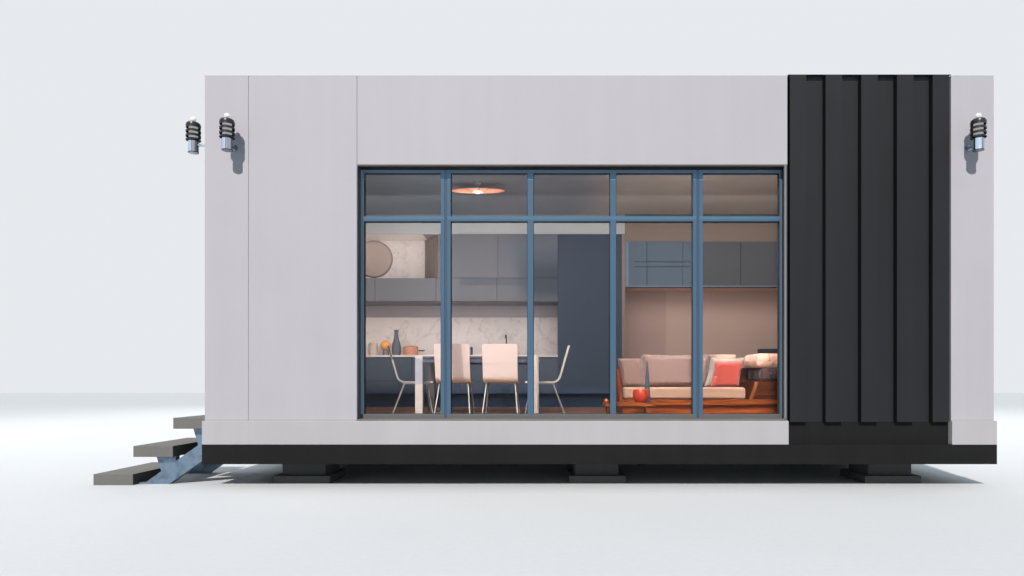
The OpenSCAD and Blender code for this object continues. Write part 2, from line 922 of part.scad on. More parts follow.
glazed_x = tall_r + gable_t;
glazed_n = 4;
module glazed_wall_units() {
    z0 = z_floor + glazed_z;
    color("#3c4c5c") placed() {
        block([glazed_x, unit_y + front_t, z0], [in_r, in_b, z0 + glazed_h]);
        fronts(glazed_x, in_r, glazed_n, z0, z0 + glazed_h, unit_y);
        block([glazed_x, unit_y + front_t, z0 + glazed_h], [in_r, in_b, z_ceiling]);
    }
}

// Thick shelf on the rear wall at the right
shelf_x = 1554;
shelf_l = 620;
shelf_d = 150;
shelf_t = 48;
shelf_up = 584;

module wall_shelf() {
    color("#3f4a57") placed()
        block([tall_r + shelf_x, in_b - shelf_d, z_floor + shelf_up],
              [tall_r + shelf_x + shelf_l, in_b, z_floor + shelf_up + shelf_t]);
}

// Points of a curve that leaves p towards q and arrives at r
curve_n = 8;
function curve(p, q, r) =
    [for (i = [0:curve_n]) let (t = i / curve_n) (1 - t) * (1 - t) * p + 2 * t * (1 - t) * q + t * t * r];

// Ware on the worktop, with the woven disc on the wall between the shelf units and the bulkhead
disc_x = 554;
disc_below = 55;
disc_above = 3;
disc_d = z_tall - z_upper - disc_below - disc_above;
disc_z = z_upper + disc_below + disc_d / 2;
disc_t = 22;
disc_rim = 12;
disc_dish = 10;
ware_y = unit_y + 120;
ware_x = [596, 733, 847, 1002, 1659, 2035];
jar_d = 96;
jar_h = 138;
globe_d = 112;
globe_foot = 78;
globe_up = 62;
vase_h = 276;
vase_belly = 50;
vase_neck = 20;
pot_d = 160;
pot_h = 104;
pot_handle = 70;
can_d = 26;
can_h = 92;
tap_h = 220;
tap_reach = 110;
tap_d = 14;

module woven_disc() {
    rotate([90, 0, 0])
        rotate_extrude()
            polygon([[0, 0], [disc_d / 2, 0], [disc_d / 2, disc_rim], [disc_d / 2 - disc_rim, disc_t], [0, disc_dish]]);
}

// Lidded jar with a straight body
module jar() {
    cylinder(d = jar_d, h = jar_h - disc_rim);
    translate([0, 0, jar_h - disc_rim]) cylinder(d1 = jar_d, d2 = jar_d * 0.8, h = disc_rim);
}

// Glass globe on a turned foot
module globe() {
    cylinder(d1 = globe_foot, d2 = globe_foot * 0.7, h = globe_up);
    translate([0, 0, globe_up + globe_d / 2 - disc_rim])
        intersection() {
            sphere(d = globe_d);
            translate([-globe_d, -globe_d, disc_rim - globe_d / 2]) cube([2 * globe_d, 2 * globe_d, globe_d]);
        }
}

// Bottle vase with a full belly, a slim neck and a lip
module vase() {
    rotate_extrude()
        polygon(concat(
            [[0, 0], [vase_belly * 0.8, 0]],
            curve([vase_belly * 0.8, 0], [vase_belly * 1.25, vase_h * 0.3], [vase_belly * 0.7, vase_h * 0.55]),
            curve([vase_belly * 0.66, vase_h * 0.58], [vase_neck, vase_h * 0.72], [vase_neck, vase_h * 0.9]),
            [[vase_neck * 1.3, vase_h], [0, vase_h]]
        ));
}

// Lidded pot with a long handle
module pot() {
    cylinder(d = pot_d, h = pot_h - disc_rim);
    translate([0, 0, pot_h - disc_rim]) cylinder(d1 = pot_d, d2 = pot_d * 0.6, h = disc_rim);
    translate([0, 0, pot_h / 2]) rotate([0, 90, 0]) cylinder(d = tap_d, h = pot_d / 2 + pot_handle);
}

// Tap: post, level spout towards the room and a short outlet
module tap() {
    cylinder(d = 2.4 * tap_d, h = tap_d);
    cylinder(d = tap_d, h = tap_h - tap_d / 2);
    translate([0, 0, tap_h - tap_d / 2]) sphere(d = tap_d);
    translate([0, 0, tap_h - tap_d / 2]) rotate([90, 0, 0]) cylinder(d = tap_d, h = tap_reach);
    translate([0, -tap_reach, tap_h - tap_d / 2]) sphere(d = tap_d);
    translate([0, -tap_reach, tap_h - 3 * tap_d]) cylinder(d = tap_d, h = 2.5 * tap_d);
}

module kitchen_ware() {
    color("#9a7b66") placed() {
        translate([base_x + disc_x, in_b - panel_t, disc_z]) woven_disc();
        translate([base_x, ware_y, z_worktop]) {
            translate([ware_x[0], 0, 0]) jar();
            translate([ware_x[1], 0, 0]) globe();
            translate([ware_x[2], 0, 0]) vase();
            translate([ware_x[3], 0, 0]) pot();
            translate([ware_x[4], 0, 0]) cylinder(d = can_d, h = can_h);
            translate([ware_x[5], 0, 0]) tap();
        }
    }
}

// Pendant over the table: shallow oval lens on a rod from the ceiling
pendant_l = 480;
pendant_w = 240;
pendant_z = 1948;
pendant_low = 24;
pendant_high = 38;
pendant_rim = 6;
pendant_tip = 0.2;
pendant_rod = 8;
pendant_off = -26;
pendant_sides = 48;
function oval(l, w) = [
    for (i = [0:pendant_sides - 1]) let (a = i * 360 / pendant_sides) [l / 2 * cos(a), w / 2 * sin(a)]
];

module pendant_lamp() {
    z_rim = pendant_low + pendant_rim;
    color("#d0705a") placed()
        translate([win_x + table_x + table_l / 2 + pendant_off, table_y + table_d / 2, z_floor + pendant_z]) {
            linear_extrude(pendant_low, scale = 1 / pendant_tip)
                polygon(oval(pendant_l * pendant_tip, pendant_w * pendant_tip));
            translate([0, 0, pendant_low]) linear_extrude(pendant_rim) polygon(oval(pendant_l, pendant_w));
            translate([0, 0, z_rim]) linear_extrude(pendant_high - pendant_rim, scale = pendant_tip)
                polygon(oval(pendant_l, pendant_w));
            cylinder(d = pendant_rod, h = z_ceiling - z_floor - pendant_z);
        }
}

// Dining table and chairs
tab_x = win_x + table_x;
apron_h = 40;
apron_t = 18;
apron_in = 10;

module dining_table() {
    color("#e6ddda") placed()
        translate([tab_x, table_y, z_floor]) {
            translate([0, 0, table_h - table_t]) cube([table_l, table_d, table_t]);
            for (x = [0, table_l - table_leg], y = [0, table_d - table_leg])
                translate([x, y, 0]) cube([table_leg, table_leg, table_h - table_t]);
            for (y = [apron_in, table_d - apron_in - apron_t])
                translate([table_leg, y, table_h - table_t - apron_h])
                    cube([table_l - 2 * table_leg, apron_t, apron_h]);
        }
}

chair_d = 310;
chair_r = 60;
chair_lean = 16;
bend_steps = 10;
function bend(r, a0, a1) = [for (i = [0:bend_steps]) let (a = a0 + (a1 - a0) * i / bend_steps) [r * cos(a), r * sin(a)]];
back_up = chair_h - seat_z;
// Length of the straight back over the bend
back_l = (back_up - chair_r * (1 - sin(chair_lean))) / cos(chair_lean);

// Side outline of a chair shell: seat, bend and leaning back
module chair_outline() {
    c = [chair_r + shell_t, chair_r + shell_t];
    top = back_l * [-sin(chair_lean), cos(chair_lean)];
    outer = [for (p = bend(chair_r + shell_t, 270, 180 + chair_lean)) c + p];
    inner = [for (p = bend(chair_r, 180 + chair_lean, 270)) c + p];
    polygon(concat(
        [[chair_d, 0]], outer, [outer[bend_steps] + top, inner[0] + top], inner, [[chair_d, shell_t]]
    ));
}

// A chair faces +x from its own corner, or with 1 at the end from the other
// one; two stand at the front of the table and one at each end
row_x = [184, 579];
row_out = 85;
end_out = [181, 193];
end_in = 85;
end_turn = 13;
chair_places = [
    [tab_x + row_x[0], table_y - row_out, 90, 1],
    [tab_x + row_x[1], table_y - row_out, 90, 1],
    [tab_x - end_out[0], table_y + end_in, end_turn, 0],
    [tab_x + table_l + end_out[1], table_y + end_in, 180, 1]
];

module at_chairs() {
    placed()
        for (p = chair_places)
            translate([p.x, p.y, z_floor]) rotate([0, 0, p[2]])
                translate([0, p[3] * -chair_w, 0]) children();
}

shell_corner = 16;

module chair_shells() {
    color("#e8d2c6") at_chairs()
        intersection() {
            translate([0, 0, seat_z]) plate_xz(0, chair_w) chair_outline();
            plate_yz(-chair_h, chair_h)
                round_topped(chair_w, chair_h, shell_corner);
        }
}

// Rectangle with its two upper corners rounded
module round_topped(w, h, r) {
    difference() {
        square([w, h]);
        for (s = [0, 1])
            translate([s * w, h]) mirror([s, 0]) mirror([0, 1])
                difference() {
                    square(r);
                    translate([r, r]) circle(r);
                }
    }
}

leg_d = 13;
leg_bar = 12;
leg_in = 24;
leg_rear = 72;
leg_front = 45;
leg_back_splay = 96;
leg_fore_splay = 44;
leg_out = 26;
bar_end = 14;
foot_d = 19;
foot_h_chair = 10;

module chair_legs() {
    color("#b8b2ac") at_chairs()
        for (y = [leg_in, chair_w - leg_in]) {
            out = y < chair_w / 2 ? -leg_out : leg_out;
            tops = [leg_rear, chair_d - leg_front];
            feet = [leg_rear - leg_back_splay, chair_d - leg_front + leg_fore_splay];
            block([leg_rear - bar_end, y - leg_bar / 2, seat_z - leg_bar],
                  [chair_d - leg_front + bar_end, y + leg_bar / 2, seat_z]);
            for (i = [0, 1]) {
                rod([tops[i], y, seat_z - leg_bar / 2], [feet[i], y + out, foot_h_chair / 2], leg_d);
                translate([feet[i], y + out, 0]) cylinder(d = foot_d, h = foot_h_chair);
            }
        }
}

// Sofa: boarded timber platform with a stacked arm, a leaning end board and a
// back board, loose cushions on it
sof_x = win_x + sofa_x;
sof_r = sof_x + sofa_l;
z_seat = z_floor + platform_h;
board_t = 30;
deck_h = 44;
sofa_recess = 26;
arm_h = 272;
arm_in = 22;
arm_lean = 25;
arm_boards = 3;
arm_groove = 4;
post_w = 36;
post_out = 8;
end_board_h = 382;
end_board_t = 26;
end_board_lean = 30;
back_h = 400;
cushion_gap = 0.4;
arm_x = sof_r + arm_in;
arm_r = sof_r + arm_w;

// Arm block, its left face leaning out to the right as it rises
module arm_stack() {
    z0 = z_seat;
    z1 = z_floor + arm_h;
    difference() {
        plate_xz(sofa_y, sofa_y + sofa_d)
            polygon([[arm_x, z0], [arm_r, z0], [arm_r, z1], [arm_x + arm_lean, z1]]);
        for (i = [1:arm_boards - 1])
            translate([arm_x - 1, sofa_y - 1, z0 + i * (z1 - z0) / arm_boards])
                cube([arm_r - arm_x, arm_groove + 1, arm_groove]);
    }
    plate_xz(sofa_y - post_out, sofa_y)
        polygon([[arm_x, z0], [arm_x + post_w, z0], [arm_x + post_w + arm_lean, z1], [arm_x + arm_lean, z1]]);
}

module sofa_frame() {
    color("#8a4b2a") placed() {
        block([sof_x + sofa_recess, sofa_y + sofa_recess, z_floor],
              [arm_r - sofa_recess, sofa_y + sofa_d, z_seat - deck_h]);
        block([sof_x, sofa_y - post_out, z_seat - deck_h], [arm_r, sofa_y + sofa_d, z_seat]);
        plate_xz(sofa_y, sofa_y + sofa_d)
            polygon([
                [sof_x, z_seat], [sof_x + end_board_t, z_seat],
                [sof_x + end_board_t - end_board_lean, z_floor + end_board_h],
                [sof_x - end_board_lean, z_floor + end_board_h]
            ]);
        arm_stack();
        block([sof_x, sofa_y + sofa_d, z_floor], [arm_r, sofa_y + sofa_d + board_t, z_floor + back_h]);
    }
}

cushion_r = 24;

// Block with its upright edges rounded
module soft_block(size) {
    translate([cushion_r, cushion_r, 0])
        linear_extrude(size.z)
            difference() {
                translate([-cushion_r, -cushion_r]) square([size.x, size.y]);
                for (sx = [0, 1], sy = [0, 1])
                    translate([sx * size.x - cushion_r, sy * size.y - cushion_r])
                        mirror([sx, 0]) mirror([0, sy])
                            difference() {
                                square(cushion_r);
                                translate([cushion_r, cushion_r]) circle(cushion_r);
                            }
            }
}

seat_front = 6;
back_t = 185;
back_cushion_h = 294;
back_x = 248;
back_split = 854;
arm_pad_x = 109;
arm_pad_h = 122;
bolster_x = 70;
bolster_h = 122;
arm_pad_in = 60;
pad_end = 6;
z_back = z_seat + cushion_t + cushion_gap;
seat_x0 = sof_x + end_board_t + cushion_gap;
back_y = sofa_y + sofa_d - back_t - cushion_gap;

module sofa_cushions() {
    z_arm = z_floor + arm_h + cushion_gap;
    color("#d9b5a6") placed() {
        translate([seat_x0, sofa_y + seat_front, z_seat + cushion_gap / 2])
            soft_block([sof_r - seat_x0, sofa_d - seat_front - cushion_gap, cushion_t - cushion_gap / 2]);
        translate([sof_x + back_x, back_y, z_back])
            soft_block([back_split - back_x, back_t, back_cushion_h]);
        translate([sof_x + back_split + 2 * cushion_gap, back_y, z_back])
            soft_block([sofa_l - back_split, back_t, back_cushion_h]);
        translate([arm_x + arm_pad_x, sofa_y + arm_pad_in, z_arm])
            soft_block([arm_r - pad_end - arm_x - arm_pad_x, sofa_d - 2 * arm_pad_in, arm_pad_h]);
        translate([arm_x + bolster_x, sofa_y + arm_pad_in, z_arm + arm_pad_h + cushion_gap])
            soft_block([arm_r - arm_x - bolster_x, sofa_d - 2 * arm_pad_in, bolster_h]);
    }
}

// Pillow that leans along x: its foot from x0 to x1, its top shifted by lean
module leaning_pillow(x0, x1, lean, h, y0, y1) {
    plate_xz(y0, y1)
        polygon([[x0, z_back], [x1, z_back], [x1 + lean, z_back + h], [x0 + lean, z_back + h]]);
}

// Foot, lean, height and depth of each pillow, from the sofa's left front corner
pillows = [
    [44, 247, -42, 250, 150, 240],
    [783, 1088, 60, 262, 232, 322],
    [818, 1060, 40, 221, 144, 226]
];

module sofa_pillows() {
    color("#e05a4c") placed()
        for (p = pillows)
            leaning_pillow(sof_x + p[0], sof_x + p[1], p[2], p[3], sofa_y + p[4], sofa_y + p[5]);
}

low_l = 394;
low_d = 240;
low_h = 101;
low_t = 28;
low_x = win_x + 1925;
low_y = 220;
low_leg = 40;
low_in = 20;

module low_table() {
    color("#7b3f24") placed()
        translate([low_x, low_y, z_floor]) {
            translate([0, 0, low_h - low_t]) cube([low_l, low_d, low_t]);
            for (x = [low_in, low_l - low_in - low_leg], y = [low_in, low_d - low_in - low_leg])
                translate([x, y, 0]) cube([low_leg, low_leg, low_h - low_t]);
        }
}

bowl_x = 300;
bowl_r = 66;
bowl_foot = 40;
bowl_h = 108;
bowl_wall = 6;
slim_x = 368;
slim_y = 90;
slim_r = 27;
slim_tip = 5;
slim_h = 342;
ball_x = 18;
ball_d = 32;

// Round bowl with a foot, a full belly and a mouth that draws in a little
module bowl() {
    outer = curve([bowl_foot, 0], [bowl_r * 1.22, bowl_h * 0.45], [bowl_r * 0.86, bowl_h]);
    inner = curve([bowl_foot - bowl_wall, bowl_wall], [bowl_r * 1.22 - 1.6 * bowl_wall, bowl_h * 0.45],
                  [bowl_r * 0.86 - bowl_wall, bowl_h]);
    rotate_extrude() polygon(concat([[0, 0]], outer, turned(inner), [[0, bowl_wall]]));
}

// Slim tapering vase
module slim_vase() {
    rotate_extrude()
        polygon(concat([[0, 0]], curve([slim_r, 0], [slim_r * 0.7, slim_h * 0.5], [slim_tip, slim_h]), [[0, slim_h]]));
}

module bowl_and_vase() {
    color("#c8452f") placed()
        translate([low_x, low_y + low_d / 2, z_floor + low_h]) {
            translate([bowl_x, 0, 0]) bowl();
            translate([slim_x, slim_y, 0]) slim_vase();
            translate([ball_x, 0, ball_d / 2]) sphere(d = ball_d);
        }
}

footing_pads();
base_side_rails();
base_end_rails();
base_cross_members();
white_plinth();
dark_plinth();
floor_cassette();
floor_finish();
front_panels();
front_wall_left();
front_wall_lintel();
front_wall_right();
ribbed_sheets();
rear_panels();
rear_wall();
left_end_panels();
left_end_wall();
left_wall_over_door();
door_frame();
door_leaf();
door_fittings();
right_end_panels();
right_end_wall();
ceiling();
roof_deck();
roof_sheet();
wall_capping();
window_frames();
window_couplings();
window_glass();
window_reveal();
window_sill();
lamp_tubes();
lamp_louvres();
lamp_glasses();
step_treads();
step_stringers();
kitchen_units();
kitchen_worktop();
kitchen_wall_panel();
kitchen_upper_units();
kitchen_bulkhead();
glazed_wall_units();
wall_shelf();
kitchen_ware();
pendant_lamp();
dining_table();
chair_shells();
chair_legs();
sofa_frame();
sofa_cushions();
sofa_pillows();
low_table();
bowl_and_vase();
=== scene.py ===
import math

import bmesh
import bpy
from mathutils import Matrix, Vector
from mathutils.bvhtree import BVHTree


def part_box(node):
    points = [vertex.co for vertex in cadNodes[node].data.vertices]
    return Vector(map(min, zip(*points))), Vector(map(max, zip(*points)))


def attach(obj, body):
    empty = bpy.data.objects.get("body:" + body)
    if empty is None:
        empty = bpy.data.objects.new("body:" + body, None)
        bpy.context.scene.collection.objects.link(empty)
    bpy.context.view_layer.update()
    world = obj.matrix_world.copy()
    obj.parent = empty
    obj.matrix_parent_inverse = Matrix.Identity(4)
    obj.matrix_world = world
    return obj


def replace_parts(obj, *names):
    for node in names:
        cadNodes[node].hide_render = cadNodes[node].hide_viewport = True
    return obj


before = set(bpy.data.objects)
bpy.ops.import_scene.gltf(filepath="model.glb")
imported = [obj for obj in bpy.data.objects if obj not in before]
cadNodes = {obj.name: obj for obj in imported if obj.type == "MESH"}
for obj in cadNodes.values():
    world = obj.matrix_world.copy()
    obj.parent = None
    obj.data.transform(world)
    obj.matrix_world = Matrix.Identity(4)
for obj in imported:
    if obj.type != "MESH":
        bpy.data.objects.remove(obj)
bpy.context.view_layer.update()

scene = bpy.context.scene
scene.view_settings.view_transform = "Standard"
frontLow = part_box("front_panels")[0]
cornerX = frontLow.x      # left corner of the front
faceY = frontLow.y        # face of the front panels
nearby = 1e-5             # points closer than this are one
lintelReach = (1.17, 4.48)
lampPlaces = (            # feet of the lamp tubes: two on the front, one on the left end
    (0.230, -0.120, 2.544), (5.861, -0.120, 2.544), (-0.120, 0.060, 2.589))


# Places are given from the cabin's left front corner: along the front, back into it, up from the ground
def at(along, back, up):
    return Vector((cornerX + along, faceY + back, up))


# The separate solids of one CAD node from left to right: box, and how far the top leans along x
def solidShapes(name):
    copied = bmesh.new()
    copied.from_mesh(cadNodes[name].data)
    bmesh.ops.remove_doubles(copied, verts=copied.verts, dist=nearby)
    left = set(copied.verts)
    boxes = []
    while left:
        todo = [left.pop()]
        island = list(todo)
        while todo:
            vert = todo.pop()
            for edge in vert.link_edges:
                other = edge.other_vert(vert)
                if other in left:
                    left.remove(other)
                    todo.append(other)
                    island.append(other)
        low = Vector([min(v.co[k] for v in island) for k in range(3)])
        high = Vector([max(v.co[k] for v in island) for k in range(3)])
        foot = min(v.co.x for v in island if v.co.z < low.z + 1e-4)
        head = min(v.co.x for v in island if v.co.z > high.z - 1e-4)
        boxes.append({"low": low, "high": high, "lean": head - foot, "foot": foot})
    copied.free()
    return sorted(boxes, key=lambda b: (round(b["low"].x, 3), round(b["low"].y, 3), round(b["low"].z, 3)))


# Camera: level, square to the front, framed by a shift as the verticals stay upright
cameraLook = {
    "along": 2.6351,              # the eye, from the left corner
    "away": 5.05,                 # in front of the panels
    "height": 0.8135,
    "focalPixels": 657.7,
    "image": (1024, 576),
    "straightAhead": (548.0, 381.5),   # the pixel that the eye faces
    "sensor": 36.0,
    "reach": 200.0,
}


def makeCamera(look):
    data = bpy.data.cameras.new("camera")
    width, height = look["image"]
    data.sensor_width = look["sensor"]
    data.lens = look["sensor"] * look["focalPixels"] / width
    data.shift_x = (width / 2 - look["straightAhead"][0]) / width
    data.shift_y = (look["straightAhead"][1] - height / 2) / width
    data.clip_end = look["reach"]
    eye = bpy.data.objects.new("camera", data)
    eye.location = at(look["along"], -look["away"], look["height"])
    eye.rotation_euler = (math.pi / 2, 0, 0)
    scene.collection.objects.link(eye)
    scene.camera = eye


makeCamera(cameraLook)
print("camera placed")


# Node helpers: each puts a node in, wired to sockets or plain values, and gives its output
def put(tree, kind, wires=None, pick=0, **settings):
    node = tree.nodes.new("ShaderNode" + kind)
    for name, value in settings.items():
        setattr(node, name, value)
    for name, value in (wires or {}).items():
        if isinstance(value, bpy.types.NodeSocket):
            tree.links.new(value, node.inputs[name])
        else:
            node.inputs[name].default_value = value
    return node.outputs[pick]


def sums(tree, how, first, second=0.0):
    return put(tree, "Math", {0: first, 1: second}, operation=how)


def plus(tree, first, *others):
    for other in others:
        first = sums(tree, "ADD", first, other)
    return first


def less(tree, first, second):
    return sums(tree, "SUBTRACT", first, second)


def times(tree, first, second):
    return sums(tree, "MULTIPLY", first, second)


# A noise of 0 to 1 as a swing about nothing
def swing(tree, value, amount):
    return times(tree, less(tree, value, 0.5), amount)


def longSide(tree, first, second):
    return sums(tree, "SQRT", plus(tree, sums(tree, "POWER", first, 2.0), sums(tree, "POWER", second, 2.0)))


def mixed(tree, share, first, second):
    return put(tree, "Mix", {0: share, 6: first, 7: second}, pick=2, data_type="RGBA")


def span(tree, value, low, high, toLow=0.0, toHigh=1.0, soft=False):
    wires = {"Value": value, "From Min": low, "From Max": high, "To Min": toLow, "To Max": toHigh}
    return put(tree, "MapRange", wires, interpolation_type="SMOOTHSTEP" if soft else "LINEAR")


def spot(tree, scale=(1, 1, 1), turn=(0, 0, 0)):
    seen = put(tree, "TexCoord", pick=3)
    return put(tree, "Mapping", {"Vector": seen, "Scale": scale, "Rotation": turn})


def noiseOn(tree, scale, detail, stretch=(1, 1, 1), **more):
    return put(tree, "TexNoise", {"Vector": spot(tree, stretch), "Scale": scale, "Detail": detail, **more})


def axesOf(tree, vector=None):
    parts = tree.nodes.new("ShaderNodeSeparateXYZ")
    tree.links.new(spot(tree) if vector is None else vector, parts.inputs[0])
    return list(parts.outputs)


def tinted(tree, colour, shade):
    plain = not isinstance(colour, bpy.types.NodeSocket)
    return put(tree, "VectorMath", {0: colour[:3] if plain else colour, "Scale": shade}, operation="SCALE")


def paint(red, green, blue):
    return (red, green, blue, 1.0)


# Shader groups: each gives a colour, a roughness and a height
groupOutputs = {"Colour": "NodeSocketColor", "Roughness": "NodeSocketFloat", "Height": "NodeSocketFloat"}


def startGroup(title, given):
    tree = bpy.data.node_groups.new(title, "ShaderNodeTree")
    for label, value in given.items():
        kind = "NodeSocketFloat"
        if isinstance(value, tuple):
            kind = "NodeSocketColor" if len(value) == 4 else "NodeSocketVector"
        tree.interface.new_socket(name=label, in_out="INPUT", socket_type=kind).default_value = value
    for label, kind in groupOutputs.items():
        tree.interface.new_socket(name=label, in_out="OUTPUT", socket_type=kind)
    return tree, tree.nodes.new("NodeGroupInput").outputs, tree.nodes.new("NodeGroupOutput").inputs


def endGroup(tree, result, *sockets):
    for label, socket in zip(groupOutputs, sockets):
        tree.links.new(socket, result[label])
    return tree


# Coated board or paint that has stood outside: clouds, run-off streaks and a fine grain
def makeAgedCoat():
    tree, given, result = startGroup("agedCoat", {
        "Base": paint(0.6, 0.6, 0.6), "Clouds": 0.1, "Streaks": 0.1, "Grain": 320.0, "Gloss": 0.5})
    clouds = noiseOn(tree, 1.6, 5.0, Roughness=0.55)
    drips = noiseOn(tree, 1.0, 4.0, (9, 9, 0.55))
    grain = noiseOn(tree, given["Grain"], 3.0)
    shade = plus(tree, swing(tree, clouds, given["Clouds"]), swing(tree, drips, given["Streaks"]),
                 swing(tree, grain, 0.08), 1.0)
    rough = plus(tree, given["Gloss"], swing(tree, clouds, 0.25))
    return endGroup(tree, result, tinted(tree, given["Base"], shade), rough, grain)


# Timber laid along the first axis of Vector, in boards of a given width
def makeTimber():
    tree, given, result = startGroup("timber", {
        "Light": paint(0.4, 0.2, 0.1), "Dark": paint(0.1, 0.05, 0.02), "Board": 0.1, "Seam": 1.0,
        "Vector": (0.0, 0.0, 0.0)})
    x, y, z = axesOf(tree, given["Vector"])
    across = sums(tree, "DIVIDE", y, given["Board"])
    upward = sums(tree, "DIVIDE", z, given["Board"])
    row = plus(tree, sums(tree, "FLOOR", across), times(tree, sums(tree, "FLOOR", upward), 7.0))
    luck = put(tree, "TexWhiteNoise", {"W": row}, noise_dimensions="1D")
    shifted = put(tree, "CombineXYZ", {0: plus(tree, x, times(tree, luck, 9.0)), 1: y, 2: z})
    grainSpot = put(tree, "Mapping", {"Vector": shifted, "Scale": (2.2, 34, 34)})
    grain = put(tree, "TexNoise", {"Vector": grainSpot, "Scale": 1.0, "Detail": 4.0, "Distortion": 1.4})
    fibreSpot = put(tree, "Mapping", {"Vector": shifted, "Scale": (9, 420, 420)})
    fibre = put(tree, "TexNoise", {"Vector": fibreSpot, "Scale": 1.0, "Detail": 2.0})
    figure = span(tree, grain, 0.3, 0.72, soft=True)
    figure = times(tree, figure, span(tree, fibre, 0.2, 0.8, 0.75, 1.1))
    shade = span(tree, luck, 0.0, 1.0, 0.72, 1.18)
    colour = tinted(tree, mixed(tree, figure, given["Dark"], given["Light"]), shade)
    inBoard = sums(tree, "ABSOLUTE", less(tree, sums(tree, "FRACT", across), 0.5))
    seam = times(tree, span(tree, inBoard, 0.478, 0.497), given["Seam"])
    colour = mixed(tree, seam, colour, paint(0.012, 0.008, 0.006))
    height = less(tree, plus(tree, fibre, grain), times(tree, seam, 2.0))
    return endGroup(tree, result, colour, span(tree, fibre, 0.0, 1.0, 0.36, 0.62), height)


# Plain weave that reads on any side of a cushion, with slight fading in clouds
def makeWeave():
    tree, given, result = startGroup("weave", {"Base": paint(0.5, 0.5, 0.5), "Threads": 700.0, "Fade": 0.16})
    waves = [sums(tree, "SINE", times(tree, axis, given["Threads"])) for axis in axesOf(tree)]
    weave = plus(tree, *[times(tree, waves[k], waves[(k + 1) % 3]) for k in range(3)])
    thread = span(tree, weave, -1.0, 1.5)
    clouds = noiseOn(tree, 9.0, 4.0)
    slub = noiseOn(tree, 1.0, 2.0, (60, 60, 900))
    shade = plus(tree, span(tree, thread, 0.0, 1.0, 0.82, 1.06), swing(tree, clouds, given["Fade"]),
                 span(tree, slub, 0.3, 0.7, -0.04, 0.04))
    rough = span(tree, thread, 0.0, 1.0, 0.95, 0.78)
    return endGroup(tree, result, tinted(tree, given["Base"], shade), rough, plus(tree, thread, slub))


# Drawn or brushed metal, with the scratches along the narrow axis of Scratch
def makeDrawnMetal():
    tree, given, result = startGroup("drawnMetal", {
        "Base": paint(0.5, 0.5, 0.5), "Scratch": (900.0, 900.0, 8.0), "Gloss": 0.3, "Tarnish": 0.2})
    stretched = put(tree, "VectorMath", {0: spot(tree), 1: given["Scratch"]}, operation="MULTIPLY")
    lines = put(tree, "TexNoise", {"Vector": stretched, "Scale": 1.0, "Detail": 3.0})
    dull = times(tree, span(tree, noiseOn(tree, 14.0, 5.0), 0.45, 0.75), given["Tarnish"])
    shade = less(tree, span(tree, lines, 0.0, 1.0, 0.9, 1.08), dull)
    rough = plus(tree, given["Gloss"], dull, span(tree, lines, 0.2, 0.8, -0.06, 0.08))
    return endGroup(tree, result, tinted(tree, given["Base"], shade), rough, lines)


# Cast stone: fine aggregate, pin holes and damp clouds
def makeCastStone():
    tree, given, result = startGroup("castStone", {
        "Base": paint(0.3, 0.3, 0.3), "Aggregate": 260.0, "Holes": 1.0, "Clouds": 0.3})
    clouds = noiseOn(tree, 4.0, 6.0, Roughness=0.6)
    grit = put(tree, "TexVoronoi", {"Vector": spot(tree), "Scale": given["Aggregate"]}, pick=1)
    gritShade = put(tree, "RGBToBW", {0: grit})
    holes = put(tree, "TexVoronoi", {"Vector": spot(tree), "Scale": 62.0, "Randomness": 1.0})
    holeMask = times(tree, span(tree, holes, 0.16, 0.07), given["Holes"])
    shade = plus(tree, swing(tree, clouds, given["Clouds"]), span(tree, gritShade, 0.0, 1.0, 0.88, 1.12))
    shade = less(tree, shade, times(tree, holeMask, 0.5))
    height = less(tree, gritShade, times(tree, holeMask, 5.0))
    rough = span(tree, clouds, 0.2, 0.8, 0.72, 0.94)
    return endGroup(tree, result, tinted(tree, given["Base"], shade), rough, height)


# Finishes: a row holds its group's values, the strength and depth of the bump, and the shader's own values
finishes = {}


def startMaterial(title):
    material = bpy.data.materials.new(title)
    material.use_nodes = True
    finishes[title] = material
    return material.node_tree, material.node_tree.nodes["Principled BSDF"]


def makeFinish(title, group, row, plainNames, turn=(0, 0, 0)):
    tree, shader = startMaterial(title)
    node = tree.nodes.new("ShaderNodeGroup")
    node.node_tree = group
    own = [socket for socket in node.inputs if socket.name != "Vector"]
    for socket, value in zip(own, row):
        socket.default_value = paint(*value) if socket.type == "RGBA" else value
    if len(own) < len(node.inputs):
        tree.links.new(spot(tree, turn=turn), node.inputs["Vector"])
    tree.links.new(node.outputs["Colour"], shader.inputs["Base Color"])
    tree.links.new(node.outputs["Roughness"], shader.inputs["Roughness"])
    strength, depth = row[len(own):len(own) + 2]
    if strength:
        wires = {"Strength": strength, "Distance": depth, "Height": node.outputs["Height"]}
        tree.links.new(put(tree, "Bump", wires), shader.inputs["Normal"])
    for name, value in zip(plainNames, row[len(own) + 2:]):
        shader.inputs[name].default_value = value


